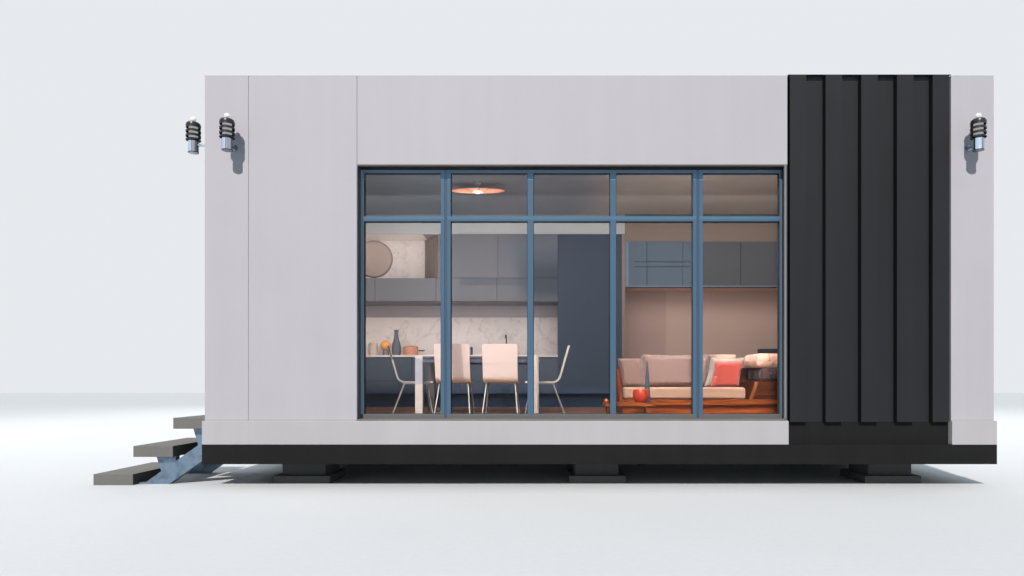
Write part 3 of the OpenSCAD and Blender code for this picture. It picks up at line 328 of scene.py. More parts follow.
coats = {        # base colour, clouds, streaks, grain and gloss; bump; specular level
    "panelWhite": ((0.515, 0.495, 0.53), 0.13, 0.07, 420, 0.62, 0.12, 0.0012, 0.5),
    "plinthWhite": ((0.50, 0.485, 0.50), 0.16, 0.12, 420, 0.62, 0.12, 0.0012, 0.5),
    "ribPaint": ((0.018, 0.0195, 0.0225), 0.35, 0.3, 700, 0.5, 0.08, 0.0006, 0.2),
    "basePaint": ((0.0148, 0.0148, 0.0153), 0.5, 0.3, 500, 0.6, 0.1, 0.0008, 0.1),
    "louvreBlack": ((0.013, 0.015, 0.018), 0.6, 0.3, 1600, 0.32, 0.06, 0.0003, 0.5),
    "sillGrey": ((0.17, 0.168, 0.162), 0.2, 0.2, 500, 0.5, 0.08, 0.0006, 0.5),
    "roomPaint": ((0.346, 0.239, 0.212), 0.12, 0.05, 600, 0.8, 0.1, 0.0006, 0.5),
    "ceilingPaint": ((0.153, 0.165, 0.195), 0.5, 0.02, 500, 0.85, 0.1, 0.0006, 0.5),
    "deckBoard": ((0.36, 0.34, 0.31), 0.4, 0.1, 200, 0.8, 0.3, 0.001, 0.5),
    "frameBlue": ((0.075, 0.142, 0.22), 0.16, 0.1, 1200, 0.4, 0.05, 0.0003, 0.3),
    # dark navy reveal lining, darkened further to near black as painted shade of its recess
    "navyTrim": ((0.012, 0.019, 0.030), 0.25, 0.1, 1200, 0.5, 0.05, 0.0003, 0.2),
    "couplingBlue": ((0.055, 0.105, 0.165), 0.16, 0.1, 1200, 0.45, 0.05, 0.0003, 0.25),
    "doorPaint": ((0.05, 0.065, 0.082), 0.25, 0.15, 900, 0.4, 0.06, 0.0004, 0.5),
    "unitPaint": ((0.035, 0.049, 0.073), 0.3, 0.15, 60, 0.55, 0, 0, 0.08),
    "upperPaint": ((0.112, 0.114, 0.135), 0.35, 0.15, 60, 0.5, 0, 0, 0.35),
    "bulkheadPaint": ((0.30, 0.315, 0.33), 0.3, 0.1, 700, 0.7, 0.06, 0.0005, 0.5),
    "glazedPaint": ((0.066, 0.099, 0.14), 0.35, 0.2, 60, 0.45, 0, 0, 0.3),
    "shadowStripGrey": ((0.255, 0.235, 0.26), 0.25, 0.1, 60, 0.6, 0, 0, 0.5),
    "battenBrown": ((0.15, 0.125, 0.115), 0.25, 0.1, 60, 0.6, 0, 0, 0.5),
    "railBlue": ((0.10, 0.15, 0.22), 0.25, 0.1, 60, 0.5, 0, 0, 0.5),
    "barDark": ((0.03, 0.05, 0.075), 0.25, 0.1, 60, 0.5, 0, 0, 0.5),
    "lacquer": ((0.51, 0.41, 0.355), 0.05, 0.02, 1500, 0.24, 0.02, 0.0002, 0.5),
    "shellPlastic": ((0.80, 0.575, 0.50), 0.05, 0.02, 2400, 0.42, 0.05, 0.0002, 0.5),
    "redGlaze": ((0.39, 0.026, 0.004), 0.5, 0.2, 500, 0.22, 0.03, 0.0004, 0.5),
    "rubberBlack": ((0.014, 0.015, 0.017), 0.4, 0.1, 900, 0.55, 0.05, 0.0003, 0.3),
    "sealGrey": ((0.42, 0.40, 0.39), 0.2, 0.3, 700, 0.75, 0.05, 0.0004, 0.5),
    "studioFloor": ((0.74, 0.75, 0.76), 0.02, 0, 30, 0.8, 0, 0, 0.5),
}
metals = {       # base colour, scratches, gloss and tarnish; bump; metallic
    "zincSteel": ((0.20, 0.28, 0.37), (60, 60, 60), 0.38, 0.45, 0.05, 0.0005, 0.75),
    "roofSteel": ((0.30, 0.31, 0.32), (40, 6, 40), 0.6, 0.06, 0.03, 0.0005, 0.35),
    # lamp steel tinted light blue as a painted reflection of the sky
    "lampSteel": ((0.62, 0.76, 0.93), (700, 700, 12), 0.2, 0.12, 0.04, 0.0002, 1),
    "handleSteel": ((0.55, 0.57, 0.60), (800, 12, 800), 0.28, 0.1, 0.04, 0.0002, 1),
    "chairSteel": ((0.36, 0.31, 0.26), (500, 500, 30), 0.3, 0.1, 0.04, 0.0002, 0.55),
}
stones = {       # base colour, aggregate, holes and clouds; bump
    "slabStone": ((0.185, 0.178, 0.166), 300, 0.8, 0.35, 0.35, 0.0014),
    "footingStone": ((0.13, 0.127, 0.122), 190, 1, 0.5, 0.5, 0.002),
    "potteryBrown": ((0.46, 0.21, 0.14), 500, 0, 0.3, 0.2, 0.0006),
}
timbers = {      # light and dark colour, width of a board and seam; bump; specular level
    "floorBoards": ((0.20, 0.095, 0.062), (0.085, 0.038, 0.026), 0.14, 1, 0.25, 0.0008, 0.12),
    "redTimber": ((0.36, 0.075, 0.010), (0.085, 0.013, 0.003), 0.058, 0, 0.3, 0.0008, 0.1),
    "sofaTimber": ((0.13, 0.025, 0.004), (0.036, 0.006, 0.001), 0.058, 0, 0.3, 0.0008, 0.1),
    "postTimber": ((0.34, 0.10, 0.016), (0.13, 0.030, 0.005), 0.058, 0, 0.3, 0.0008, 0.1),
}
plainCloths = {
    "seatCloth": (0.435, 0.24, 0.154), "backCloth": (0.262, 0.156, 0.13),
    "bolsterCloth": (0.95, 0.53, 0.38), "armPadCloth": (0.072, 0.026, 0.024),
    "beigeCloth": (0.22, 0.121, 0.095), "offWhiteCloth": (0.37, 0.285, 0.24),
}
cloths = {       # base colour, threads and fading; bump; weight and roughness of the sheen
    "coralCloth": ((0.42, 0.05, 0.03), 1500, 0.1, 0.3, 0.0008, 0.3, 0.5),
    **{title: (colour, 1400, 0.12, 0.35, 0.0008, 0.25, 0.5) for title, colour in plainCloths.items()},
}
for group, rows, plainNames in (
        (makeAgedCoat(), coats, ["Specular IOR Level"]), (makeDrawnMetal(), metals, ["Metallic"]),
        (makeCastStone(), stones, []), (makeTimber(), timbers, ["Specular IOR Level"]),
        (makeWeave(), cloths, ["Sheen Weight", "Sheen Roughness"])):
    for title, row in rows.items():
        upright = (0, math.pi / 2, 0) if title == "postTimber" else (0, 0, 0)
        makeFinish(title, group, row, plainNames, upright)
for title, weight, rough in (("lacquer", 0.4, 0.1), ("redGlaze", 0.3, 0.08)):
    glossy = finishes[title].node_tree.nodes["Principled BSDF"].inputs
    glossy["Coat Weight"].default_value = weight
    glossy["Coat Roughness"].default_value = rough
print("finishes mixed:", len(finishes))


def groupIn(tree):
    return next(node for node in tree.nodes if node.type == "GROUP")


def fedTo(socket):
    return socket.links[0].from_socket if socket.links else socket.default_value[:]


# Other colours, painted light and painted shade in parts of a finish: each region is a colour and its reach
# along, back or up
def paintRegions(title, regions, softness=0.002, target="Base"):
    tree = finishes[title].node_tree
    group = groupIn(tree)
    places = axesOf(tree)
    starts = {"along": (0, cornerX), "back": (1, faceY), "up": (2, 0.0)}
    colour = fedTo(group.inputs[target])
    for other, reach in regions:
        share = 1.0
        for direction, (low, high) in reach.items():
            axis, start = starts[direction]
            for end, before, after in ((low, 0.0, 1.0), (high, 1.0, 0.0)):
                if end is not None:
                    edge = start + end
                    fade = span(tree, places[axis], edge - softness, edge + softness, before, after)
                    share = times(tree, share, fade)
        colour = mixed(tree, share, colour, paint(*other))
    tree.links.new(colour, group.inputs[target])


# Painted shade on the faces of a finish that look one way: axis, side, and how much of the colour stays
def paintFaces(title, axis, side, kept):
    tree = finishes[title].node_tree
    group = groupIn(tree)
    facing = axesOf(tree, put(tree, "NewGeometry", pick=3))[axis]
    shade = span(tree, facing, 0.6 * side, 0.95 * side, 1.0, kept)
    tree.links.new(tinted(tree, fedTo(group.inputs["Base"]), shade), group.inputs["Base"])


panelFace = (-0.01, 0.1)        # reach back of the facing boards
paintRegions("panelWhite", [
    ((0.21, 0.18, 0.13), dict(along=lintelReach, up=(2.476, 2.482), back=panelFace)),        # lintel's lower edge, a line of painted shade
    ((0.035, 0.03, 0.022), dict(along=lintelReach, up=(2.470, 2.4755), back=panelFace)),     # its underside, painted near black as shade
    ((0.475, 0.425, 0.425), dict(up=(0.50, 0.523), back=panelFace)),                         # lowest edge, a line of painted shade over the plinth
    ((0.20, 0.21, 0.225), dict(along=(4.4505, 4.48), up=(None, 2.475), back=panelFace)),     # leg by the ribs, painted grey as in half shade
    # the leg's outer edge, painted near black as the shade beside the ribs
    ((0.035, 0.037, 0.042), dict(along=(4.4660, 4.48), up=(None, 2.475), back=panelFace))], 0.0008)
# Tops of the pans painted lighter: painted light where the cap's shadow falls
paintRegions("ribPaint", [((0.055, 0.059, 0.066), dict(up=(3.134, None), back=(0.02, 0.1)))])
# Painted shade: sides of the ribs that face left kept at a quarter of their colour
paintFaces("ribPaint", 0, -1, 0.25)
# Painted shade: right ends of the treads darker
paintFaces("slabStone", 0, 1, 0.3)
tubeReflectionBands = (        # painted reflection bands and dark edges of a lamp tube: colour and reach from its axis
    ((0.16, 0.20, 0.26), 0.004, 0.011), ((0.45, 0.42, 0.43), 0.013, 0.032),
    ((0.09, 0.12, 0.17), 0.034, 0.039), ((0.12, 0.16, 0.21), -0.039, -0.034))
for axis, _, _ in lampPlaces:
    paintRegions("lampSteel", [
        (tone, dict(along=(axis + start, axis + end), up=(2.545, 2.70))) for tone, start, end in tubeReflectionBands])
paintRegions("lampSteel", [((0.26, 0.33, 0.40), dict(back=(-0.080, 0.0), along=(0.0, None)))])    # arms and roses, painted in the blue of the shade that falls on them
# Painted shade: undersides of the tubes darker
paintFaces("lampSteel", 2, -1, 0.35)
paintRegions("roomPaint", [
    ((0.407, 0.29, 0.25), dict(along=(3.949, None), back=(2.2, 2.3))),      # right end of the rear wall, painted lighter where more light falls on it
    ((0.24, 0.245, 0.25), dict(up=(2.80, None)))])                          # parapet round the roof
# Ceiling painted bluer at its left end and warmer at its right: painted light
paintRegions("ceilingPaint", [
    ((0.137, 0.167, 0.20), dict(along=(None, 1.9))), ((0.30, 0.265, 0.245), dict(along=(3.15, None)))], 0.25)
paintRegions("frameBlue", [
    ((0.085, 0.19, 0.285), dict(up=(2.083, 2.105))),                        # transom
    ((0.22, 0.40, 0.60), dict(up=(2.389, None))),                           # under the lintel, painted lighter against the lintel's shadow
    ((0.36, 0.42, 0.47), dict(up=(2.4535, None))),                          # head, painted lighter against the lintel's shadow
    ((0.50, 0.48, 0.48), dict(along=(None, 1.1875))),                       # left jamb, pale, and painted paler still against the shade of the reveal
    ((0.14, 0.155, 0.175), dict(along=(4.4545, None))),                     # right jamb
    ((0.30, 0.27, 0.26), dict(back=(0.131, 0.20))),                         # pale inside half
    ((0.14, 0.138, 0.137), dict(up=(None, 0.559), back=(0.08, 0.15)))])     # foot bar
paintRegions("navyTrim", [((0.085, 0.11, 0.155), dict(along=(None, 1.18), up=(None, 2.468)))])
# Couplings under the lintel painted lighter against its shadow
paintRegions("couplingBlue", [((0.18, 0.34, 0.52), dict(up=(2.389, None)))])
paintRegions("unitPaint", [((0.060, 0.075, 0.102), dict(along=(None, 2.74), up=(None, 1.07)))], 0.004)
# Painted shade: the base units darker towards the floor
paintRegions("unitPaint", [((0.026, 0.040, 0.070), dict(up=(None, 0.76)))], 0.05)
paintRegions("unitPaint", [
    ((0.006, 0.013, 0.030), dict(up=(None, 0.69))),                         # kick boards
    ((0.17, 0.13, 0.115), dict(along=(3.4175, 3.454), up=(None, 2.40), back=(1.90, None)))])      # gable
# Painted shade: the upper units darker towards the right
paintRegions("upperPaint", [((0.078, 0.092, 0.12), dict(along=(2.2, None), up=(1.92, None)))], 0.2)
paintRegions("upperPaint", [
    ((0.08, 0.088, 0.115), dict(along=(1.7, None), up=(1.835, 1.914))),     # darker rail of the shelf row
    ((0.21, 0.175, 0.165), dict(along=(None, 1.4655), up=(1.914, None))),   # splayed end
    ((0.23, 0.215, 0.23), dict(up=(None, 1.6590), back=(1.945, None))),     # underside
    ((0.03, 0.034, 0.04), dict(up=(None, 1.668), back=(None, 1.945)))])     # shadow line
# Painted shade: darker still towards the lower right
paintRegions("upperPaint", [((0.034, 0.045, 0.067), dict(along=(2.38, None), up=(1.66, 2.12)))], 0.13)
paintRegions("bulkheadPaint", [
    ((0.13, 0.14, 0.16), dict(up=(2.560, None))),                           # its top strip, painted dark as the shadow under the ceiling
    # its underside at the left, painted near white as if lit: painted light
    ((0.95, 0.90, 0.86), dict(along=(None, 1.30), up=(None, 2.384), back=(1.960, None)))])
paintRegions("glazedPaint", [
    ((0.062, 0.067, 0.078), dict(along=(4.19, None))),
    ((0.155, 0.118, 0.10), dict(up=(2.302, 2.54))),                         # band over the doors
    ((0.055, 0.06, 0.068), dict(up=(2.54, None)))], 0.012)                  # its top strip, painted dark as the shadow under the ceiling
paintRegions("glazedPaint", [((0.85, 0.58, 0.48), dict(up=(None, 1.8215), back=(2.02, None)))])    # underside, painted bright like the lit wall: painted light
paintRegions("lacquer", [
    ((0.066, 0.075, 0.104), dict(along=(1.578, 2.494), up=(None, 1.027))),  # apron, painted dark as in shade
    # upper part of the left front leg, painted blue-grey as in shade
    ((0.35, 0.32, 0.34), dict(along=(None, 1.58), up=(0.79, 1.011), back=(None, 0.60))),
    ((0.10, 0.075, 0.070), dict(up=(None, 1.0), back=(0.95, None)))])       # rear legs, painted dark as in shade
paintRegions("shellPlastic", [
    ((0.94, 0.60, 0.42), dict(along=(1.65, 2.45), up=(None, 0.842), back=(None, 0.47))),    # lower edges of the backs, painted a bright warm orange as if lit
    ((0.36, 0.32, 0.28), dict(along=(None, 1.62))),
    ((0.10, 0.10, 0.11), dict(along=(None, 1.62), up=(1.0, None))),
    ((0.44, 0.36, 0.30), dict(along=(2.56, None)))])
for target, boards, foot, side in (
        ("Light", (0.43, 0.092, 0.010), (0.42, 0.075, 0.008), (0.34, 0.066, 0.016)),
        ("Dark", (0.13, 0.022, 0.003), (0.15, 0.026, 0.003), (0.12, 0.022, 0.005))):
    paintRegions("sofaTimber", [
        (boards, dict(up=(0.614, 0.660))), (foot, dict(up=(None, 0.614))),
        (side, dict(along=(None, 3.274), up=(0.66, None), back=(None, 1.068)))], target=target)
paintRegions("redGlaze", [
    ((0.045, 0.055, 0.075), dict(back=(0.402, None))),                      # vase
    ((0.62, 0.13, 0.02), dict(along=(None, 3.14)))])                        # ball
paintRegions("potteryBrown", [       # ware from left to right, the tap and the disc
    ((0.44, 0.36, 0.31), dict(along=(None, 0.81), up=(None, 1.3))),
    ((0.60, 0.28, 0.09), dict(along=(0.82, 0.945), up=(1.156, 1.3))),
    ((0.16, 0.13, 0.13), dict(along=(0.82, 0.945), up=(None, 1.156))),
    ((0.095, 0.105, 0.13), dict(along=(0.945, 1.05), up=(None, 1.4))),
    ((0.05, 0.035, 0.035), dict(along=(1.235, 1.31), up=(None, 1.3))),
    ((0.03, 0.045, 0.10), dict(along=(1.78, 1.84), up=(None, 1.3))),
    ((0.035, 0.035, 0.04), dict(along=(2.1, 2.25), up=(None, 1.4))),
    ((0.375, 0.30, 0.275), dict(up=(1.9, None)))])
# Painted light: the back cushions lighter and warmer at their upper right
paintRegions("backCloth", [((0.62, 0.34, 0.25), dict(along=(4.165, None), up=(0.98, None)))], 0.03)

# Rings of woven cane on the disc over the worktop, darker at its rim
discLook = {"along": 0.704, "up": 2.173, "pitch": 0.017, "rim": 0.188, "rimWidth": 0.006, "canes": 46.0,
            "foot": (1.90, 1.91)}


def weaveDisc(look):
    tree = finishes["potteryBrown"].node_tree
    group = groupIn(tree)
    x, _, z = axesOf(tree)
    away = less(tree, x, cornerX + look["along"])
    rise = less(tree, z, look["up"])
    radius = longSide(tree, away, rise)
    angle = sums(tree, "ARCTAN2", rise, away)
    coil = sums(tree, "SINE", plus(tree, times(tree, radius, 2 * math.pi / look["pitch"]), angle))
    cane = sums(tree, "SINE", times(tree, angle, look["canes"]))
    shade = plus(tree, span(tree, coil, -1.0, 1.0, 0.86, 1.06), times(tree, cane, 0.05))
    rim = span(tree, radius, look["rim"], look["rim"] + look["rimWidth"], 1.0, 0.62)
    colour = fedTo(group.inputs["Base"])
    woven = tinted(tree, colour, times(tree, shade, rim))
    tree.links.new(mixed(tree, span(tree, z, *look["foot"]), colour, woven), group.inputs["Base"])


weaveDisc(discLook)


# Pale marble with faint grey veins, painted darker away from the lit left end as shade
def makeMarble():
    tree, shader = startMaterial("marble")
    warp = noiseOn(tree, 2.6, 6.0, Roughness=0.6)
    bent = put(tree, "VectorMath", {0: spot(tree, (1, 1, 0.8)), 1: tinted(tree, warp, 0.7)}, operation="ADD")
    veins = put(tree, "TexNoise", {"Vector": bent, "Scale": 3.4, "Detail": 3.0, "Roughness": 0.45})
    near = sums(tree, "ABSOLUTE", less(tree, veins, 0.5))
    line = span(tree, near, 0.028, 0.0, 0.0, 0.5, soft=True)
    cloud = noiseOn(tree, 5.5, 5.0)
    body = mixed(tree, span(tree, cloud, 0.3, 0.7), paint(0.61, 0.55, 0.545), paint(0.53, 0.48, 0.475))
    # painted shade: darker towards the middle of the panel
    paintedShadeFalloff = span(tree, axesOf(tree)[0], cornerX + 0.9, cornerX + 2.2, 1.0, 0.78)
    veined = mixed(tree, line, body, paint(0.36, 0.33, 0.33))
    tree.links.new(tinted(tree, veined, paintedShadeFalloff), shader.inputs["Base Color"])
    tree.links.new(span(tree, cloud, 0.2, 0.8, 0.22, 0.34), shader.inputs["Roughness"])


# Clear pane: lamps reach through it, the eye sees it bend and mirror
def makePane():
    tree, shader = startMaterial("pane")
    shader.inputs["Base Color"].default_value = paint(0.86, 0.90, 0.92)
    shader.inputs["Roughness"].default_value = 0.0
    shader.inputs["IOR"].default_value = 1.2       # thin, low-reflection glass
    shader.inputs["Transmission Weight"].default_value = 1.0
    clear = tree.nodes.new("ShaderNodeBsdfTransparent")
    clear.inputs[0].default_value = paint(0.86, 0.88, 0.89)
    shade = tree.nodes.new("ShaderNodeMixShader")
    tree.links.new(put(tree, "LightPath", pick=1), shade.inputs[0])
    tree.links.new(shader.outputs[0], shade.inputs[1])
    tree.links.new(clear.outputs[0], shade.inputs[2])
    tree.links.new(shade.outputs[0], tree.nodes["Material Output"].inputs[0])


# Opal glass with a faint glow
def makeOpal(title, colour, glow, strength):
    tree, shader = startMaterial(title)
    haze = noiseOn(tree, 40.0, 3.0)
    milky = mixed(tree, span(tree, haze, 0.3, 0.7), colour, tuple(0.9 * c for c in colour))
    tree.links.new(milky, shader.inputs["Base Color"])
    tree.links.new(span(tree, haze, 0.2, 0.8, 0.08, 0.2), shader.inputs["Roughness"])
    shader.inputs["Emission Color"].default_value = glow
    shader.inputs["Emission Strength"].default_value = strength
    shader.inputs["Coat Weight"].default_value = 0.5


# Pendant: two pleated shells of an oval, a bright bulb in the middle, rod and ceiling cup
pendantLook = {
    "half": (0.2385, 0.078), "pleats": 40, "fold": 0.0026, "over": 0.027, "wall": 0.0012,
    "rings": ((0.72, 0.45), (0.40, 0.80), (0.13, 1.0)),    # share of the radius, share of the rise
    "drop": 0.014, "rise": 0.020, "bulb": (0.031, 0.026, 0.026), "rod": 0.004, "rodSpare": 0.01,
    "cup": ((0.0, -0.0185), (0.030, -0.0165), (0.034, -0.0105), (0.034, -0.0005), (0.0, -0.0005)),
    "salmon": paint(0.72, 0.21, 0.13), "pale": paint(0.95, 0.56, 0.38), "hot": paint(1.0, 0.97, 0.92),
    "hotShare": (0.15, 0.24), "squeeze": 0.33, "glow": 0.5,    # squeeze: how oval the shade is
}


# Shade that glows as part of the lamp: pale and salmon folds, with white painted round the bulb as its light
def makePleatGlow(look):
    tree, shader = startMaterial("pleatGlow")
    low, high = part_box("pendant_lamp")
    middle, half = (low + high) / 2, (high - low) / 2
    x, y, _ = axesOf(tree)
    away = sums(tree, "DIVIDE", less(tree, x, middle.x), half.x)
    deep = sums(tree, "DIVIDE", less(tree, y, middle.y), look["half"][1])
    angle = sums(tree, "ARCTAN2", deep, away)
    fold = put(tree, "TexNoise", {"W": times(tree, angle, 3.2), "Scale": 2.4, "Detail": 2.0},
               noise_dimensions="1D")
    colour = mixed(tree, span(tree, fold, 0.40, 0.62, soft=True), look["salmon"], look["pale"])
    near = longSide(tree, away, times(tree, deep, look["squeeze"]))
    colour = mixed(tree, span(tree, near, look["hotShare"][1], look["hotShare"][0]), colour, look["hot"])
    tree.links.new(colour, shader.inputs["Base Color"])
    dim = span(tree, longSide(tree, away, deep), 0.55, 1.0, 1.0, 0.22)
    tree.links.new(tinted(tree, colour, dim), shader.inputs["Emission Color"])
    shader.inputs["Emission Strength"].default_value = look["glow"]
    tree.links.new(span(tree, fold, 0.2, 0.8, 0.45, 0.6), shader.inputs["Roughness"])


makeMarble()
makePane()
makePleatGlow(pendantLook)
makeOpal("bulbGlow", paint(0.95, 0.93, 0.90), paint(1.0, 0.97, 0.92), 2.2)
makeOpal("opal", paint(0.86, 0.87, 0.84), paint(1.0, 0.98, 0.92), 0.25)


# CAD nodes that keep their own shape, by finish, with the small round on the edges of each
dressing = {
    "panelWhite": {"front_panels": 0.0015, "rear_panels": 0.0015, "left_end_panels": 0.0015,
                   "right_end_panels": 0.0015, "wall_capping": 0},
    "plinthWhite": {"white_plinth": 0.003}, "ribPaint": {"ribbed_sheets": 0},
    "basePaint": {"dark_plinth": 0.002, "base_side_rails": 0.003, "base_end_rails": 0.003,
                  "base_cross_members": 0.002},
    "footingStone": {"footing_pads": 0.006}, "slabStone": {"step_treads": 0.005},
    "zincSteel": {"step_stringers": 0.002}, "roofSteel": {"roof_sheet": 0},
    "deckBoard": {"roof_deck": 0, "floor_cassette": 0},
    "roomPaint": {"front_wall_left": 0, "front_wall_lintel": 0, "front_wall_right": 0, "rear_wall": 0,
                  "left_end_wall": 0, "left_wall_over_door": 0, "right_end_wall": 0},
    "ceilingPaint": {"ceiling": 0}, "floorBoards": {"floor_finish": 0},
    "frameBlue": {"window_frames": 0.0015, "door_frame": 0.002}, "sillGrey": {"window_sill": 0.001},
    "couplingBlue": {"window_couplings": 0}, "navyTrim": {"window_reveal": 0}, "pane": {"window_glass": 0},
    "doorPaint": {"door_leaf": 0.002}, "handleSteel": {"door_fittings": 0}, "lampSteel": {"lamp_tubes": 0},
    "unitPaint": {"kitchen_units": 0.0015, "wall_shelf": 0.002},
    "upperPaint": {"kitchen_upper_units": 0.0015},
    "bulkheadPaint": {"kitchen_bulkhead": 0.0015}, "glazedPaint": {"glazed_wall_units": 0.0015},
    "marble": {"kitchen_worktop": 0.002, "kitchen_wall_panel": 0}, "potteryBrown": {"kitchen_ware": 0},
    "lacquer": {"dining_table": 0.003}, "shellPlastic": {"chair_shells": 0}, "chairSteel": {"chair_legs": 0},
    "sofaTimber": {"sofa_frame": 0.003}, "redTimber": {"low_table": 0.003}, "redGlaze": {"bowl_and_vase": 0},
}


def dress(name, finish, ease):
    piece = cadNodes[name]
    for place in piece.material_slots:
        place.material = finishes[finish]
    if ease:
        piece.modifiers.new("weld", "WELD").merge_threshold = nearby
        rounding = piece.modifiers.new("ease", "BEVEL")
        rounding.width = ease
        rounding.segments = 2
        rounding.limit_method = "ANGLE"
        rounding.angle_limit = math.radians(40)
        piece.modifiers.new("shade", "WEIGHTED_NORMAL").keep_sharp = True


for finish, nodes in dressing.items():
    for name, ease in nodes.items():
        dress(name, finish, ease)
print("cad nodes dressed:", sum(len(nodes) for nodes in dressing.values()), "of", len(cadNodes))


# Makers of mesh for the pieces that the scene adds
def addBlock(bm, low, high, edge=0.0):
    low, high = Vector(low), Vector(high)
    made = bmesh.ops.create_cube(bm, size=1.0)["verts"]
    bmesh.ops.scale(bm, vec=high - low, verts=made)
    bmesh.ops.translate(bm, vec=(low + high) / 2, verts=made)
    if edge:
        rims = list({e for v in made for e in v.link_edges})
        bmesh.ops.bevel(bm, geom=rims, offset=edge, segments=2, profile=0.5, affect="EDGES", material=-1)


# A block that is turned about the upright axis
def addTurnedBlock(bm, size, place, angle, edge=0.0):
    before = set(bm.verts)
    half = Vector(size) / 2
    addBlock(bm, -half, half, edge)
    made = [v for v in bm.verts if v not in before]
    bmesh.ops.rotate(bm, cent=(0, 0, 0), matrix=Matrix.Rotation(angle, 3, "Z"), verts=made)
    bmesh.ops.translate(bm, vec=place, verts=made)


# Outline of radius and height pairs spun round an upright axis, then moved to its place
def addTurned(bm, outline, place, sides):
    before = set(bm.verts)
    start = [bm.verts.new((radius, 0, height)) for radius, height in outline]
    lines = [bm.edges.new(pair) for pair in zip(start, start[1:])]
    bmesh.ops.spin(bm, geom=start + lines, cent=(0, 0, 0), axis=(0, 0, 1), angle=2 * math.pi,
                   steps=sides, use_merge=True)
    bmesh.ops.translate(bm, vec=place, verts=[v for v in bm.verts if v not in before])


# Round bar of even thickness that follows a row of points
def addTube(bm, path, radius, sides=8, closed=False):
    path = [Vector(p) for p in path]
    count = len(path)
    rings = []
    for i, point in enumerate(path):
        ahead = path[(i + 1) % count] if closed or i < count - 1 else point
        behind = path[i - 1] if closed or i > 0 else point
        turn = (ahead - behind).normalized().to_track_quat("Z", "Y").to_matrix().to_4x4()
        stand = Matrix.Translation(point) @ turn
        rings.append(bmesh.ops.create_circle(bm, segments=sides, radius=radius, matrix=stand)["verts"])
    pairs = list(zip(rings, rings[1:])) + ([(rings[-1], rings[0])] if closed else [])
    for first, second in pairs:
        near = min(range(sides), key=lambda k: (second[k].co - first[0].co).length)
        for k in range(sides):
            a, b = first[k], first[(k + 1) % sides]
            c, d = second[(near + k + 1) % sides], second[(near + k) % sides]
            bm.faces.new((a, b, c, d))
    if not closed:
        bm.faces.new(rings[0])
        bm.faces.new(rings[-1])


def finishPiece(bm, name, finish, smooth=35.0):
    bmesh.ops.remove_doubles(bm, verts=bm.verts, dist=nearby)
    bmesh.ops.recalc_face_normals(bm, faces=bm.faces)
    mesh = bpy.data.meshes.new(name)
    bm.to_mesh(mesh)
    bm.free()
    mesh.materials.append(finishes[finish])
    mesh.shade_smooth()
    mesh.set_sharp_from_angle(angle=math.radians(smooth))
    piece = bpy.data.objects.new(name, mesh)
    scene.collection.objects.link(piece)
    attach(piece, "root")
    return piece


# Cushions and pillows: a cover that starts a little small and is filled by a cloth simulation
backLook = {
    "node": "sofa_cushions",
    "thin": 1,                # axis through the cushion
    "crown": 0.34,            # how much thinner the rim is
    "pull": 0.012,            # how far the sides draw in between the corners
    "small": 0.004,           # how much smaller the empty cover is
    "cap": 0.022,             # how far a point may travel
    "fill": 0.6, "cloth": "backCloth",
    "welts": (0.3, -0.3),     # levels of its cords, as shares of half its thickness
}
padLook = {"node": "sofa_cushions", "thin": 2, "crown": 0.22, "pull": 0.006, "small": 0.004, "voxel": 0.0065}
pillowLook = {
    "node": "sofa_pillows", "thin": 1, "crown": 0.6, "pull": 0.028, "small": 0.001, "voxel": 0.0052,
    "cap": 0.02, "fill": 0.55, "welts": (0.0,)}
coverLook = {
    "sofa_seat_cushion": {
        "node": "sofa_cushions", "order": 0, "thin": 2, "crown": 0.12, "pull": 0.004, "small": 0.003,
        "voxel": 0.009, "cap": 0.012, "fill": 0.75, "cloth": "seatCloth", "welts": (0.62, -0.62)},
    "sofa_back_cushion_wide": {**backLook, "order": 1, "voxel": 0.008},
    "sofa_back_cushion_narrow": {**backLook, "order": 2, "voxel": 0.007},
    "sofa_top_cushion": {
        **padLook, "order": 3, "cap": 0.018, "fill": 0.6, "cloth": "bolsterCloth", "welts": (0.0,)},
    "sofa_arm_pad": {
        **padLook, "order": 4, "cap": 0.016, "fill": 0.65, "cloth": "armPadCloth", "welts": (0.45, -0.45)},
    "sofa_pillow_left": {**pillowLook, "order": 0, "cloth": "beigeCloth"},
    "sofa_pillow_pale": {**pillowLook, "order": 1, "voxel": 0.0055, "cloth": "offWhiteCloth"},
    "sofa_pillow_coral": {**pillowLook, "order": 2, "fill": 0.6, "cloth": "coralCloth"},
}
fillLook = {
    "quality": 6, "mass": 0.25, "pressure": 4.0, "stiffness": 12, "bending": 0.25, "frames": 20,
    "shrink": -0.035,         # a little loose cloth, which gives the folds
    "room": 0.0006,           # kept free inside the solid
    "quickVoxel": 0.02,
}
weltLook = {"radius": 0.0024, "points": 120, "sides": 6, "reach": (1.3, 0.6), "spare": 0.0004, "least": 0.8}


# Shape of a cover before it is filled: sides drawn in between the corners, thinner towards the rim
def coverPoint(look, box, a, b, t):
    middle = (box["low"] + box["high"]) / 2
    half = (box["high"] - box["low"]) / 2
    half.x -= abs(box["lean"]) / 2
    rim = (1 - abs(a) ** 5) * (1 - abs(b) ** 5)
    thick = 1 - look["crown"] * (1 - math.sqrt(max(rim, 0.0)))
    along = a * (1 - look["pull"] * (1 - b * b))
    across = b * (1 - look["pull"] * (1 - a * a))
    flat = [k for k in range(3) if k != look["thin"]]
    place = Vector((0, 0, 0))
    place[look["thin"]] = t * thick * (half[look["thin"]] - look["small"])
    place[flat[0]] = along * (half[flat[0]] - look["small"])
    place[flat[1]] = across * (half[flat[1]] - look["small"])
    place.x += box["lean"] / 2 * place.z / half.z
    return middle + place


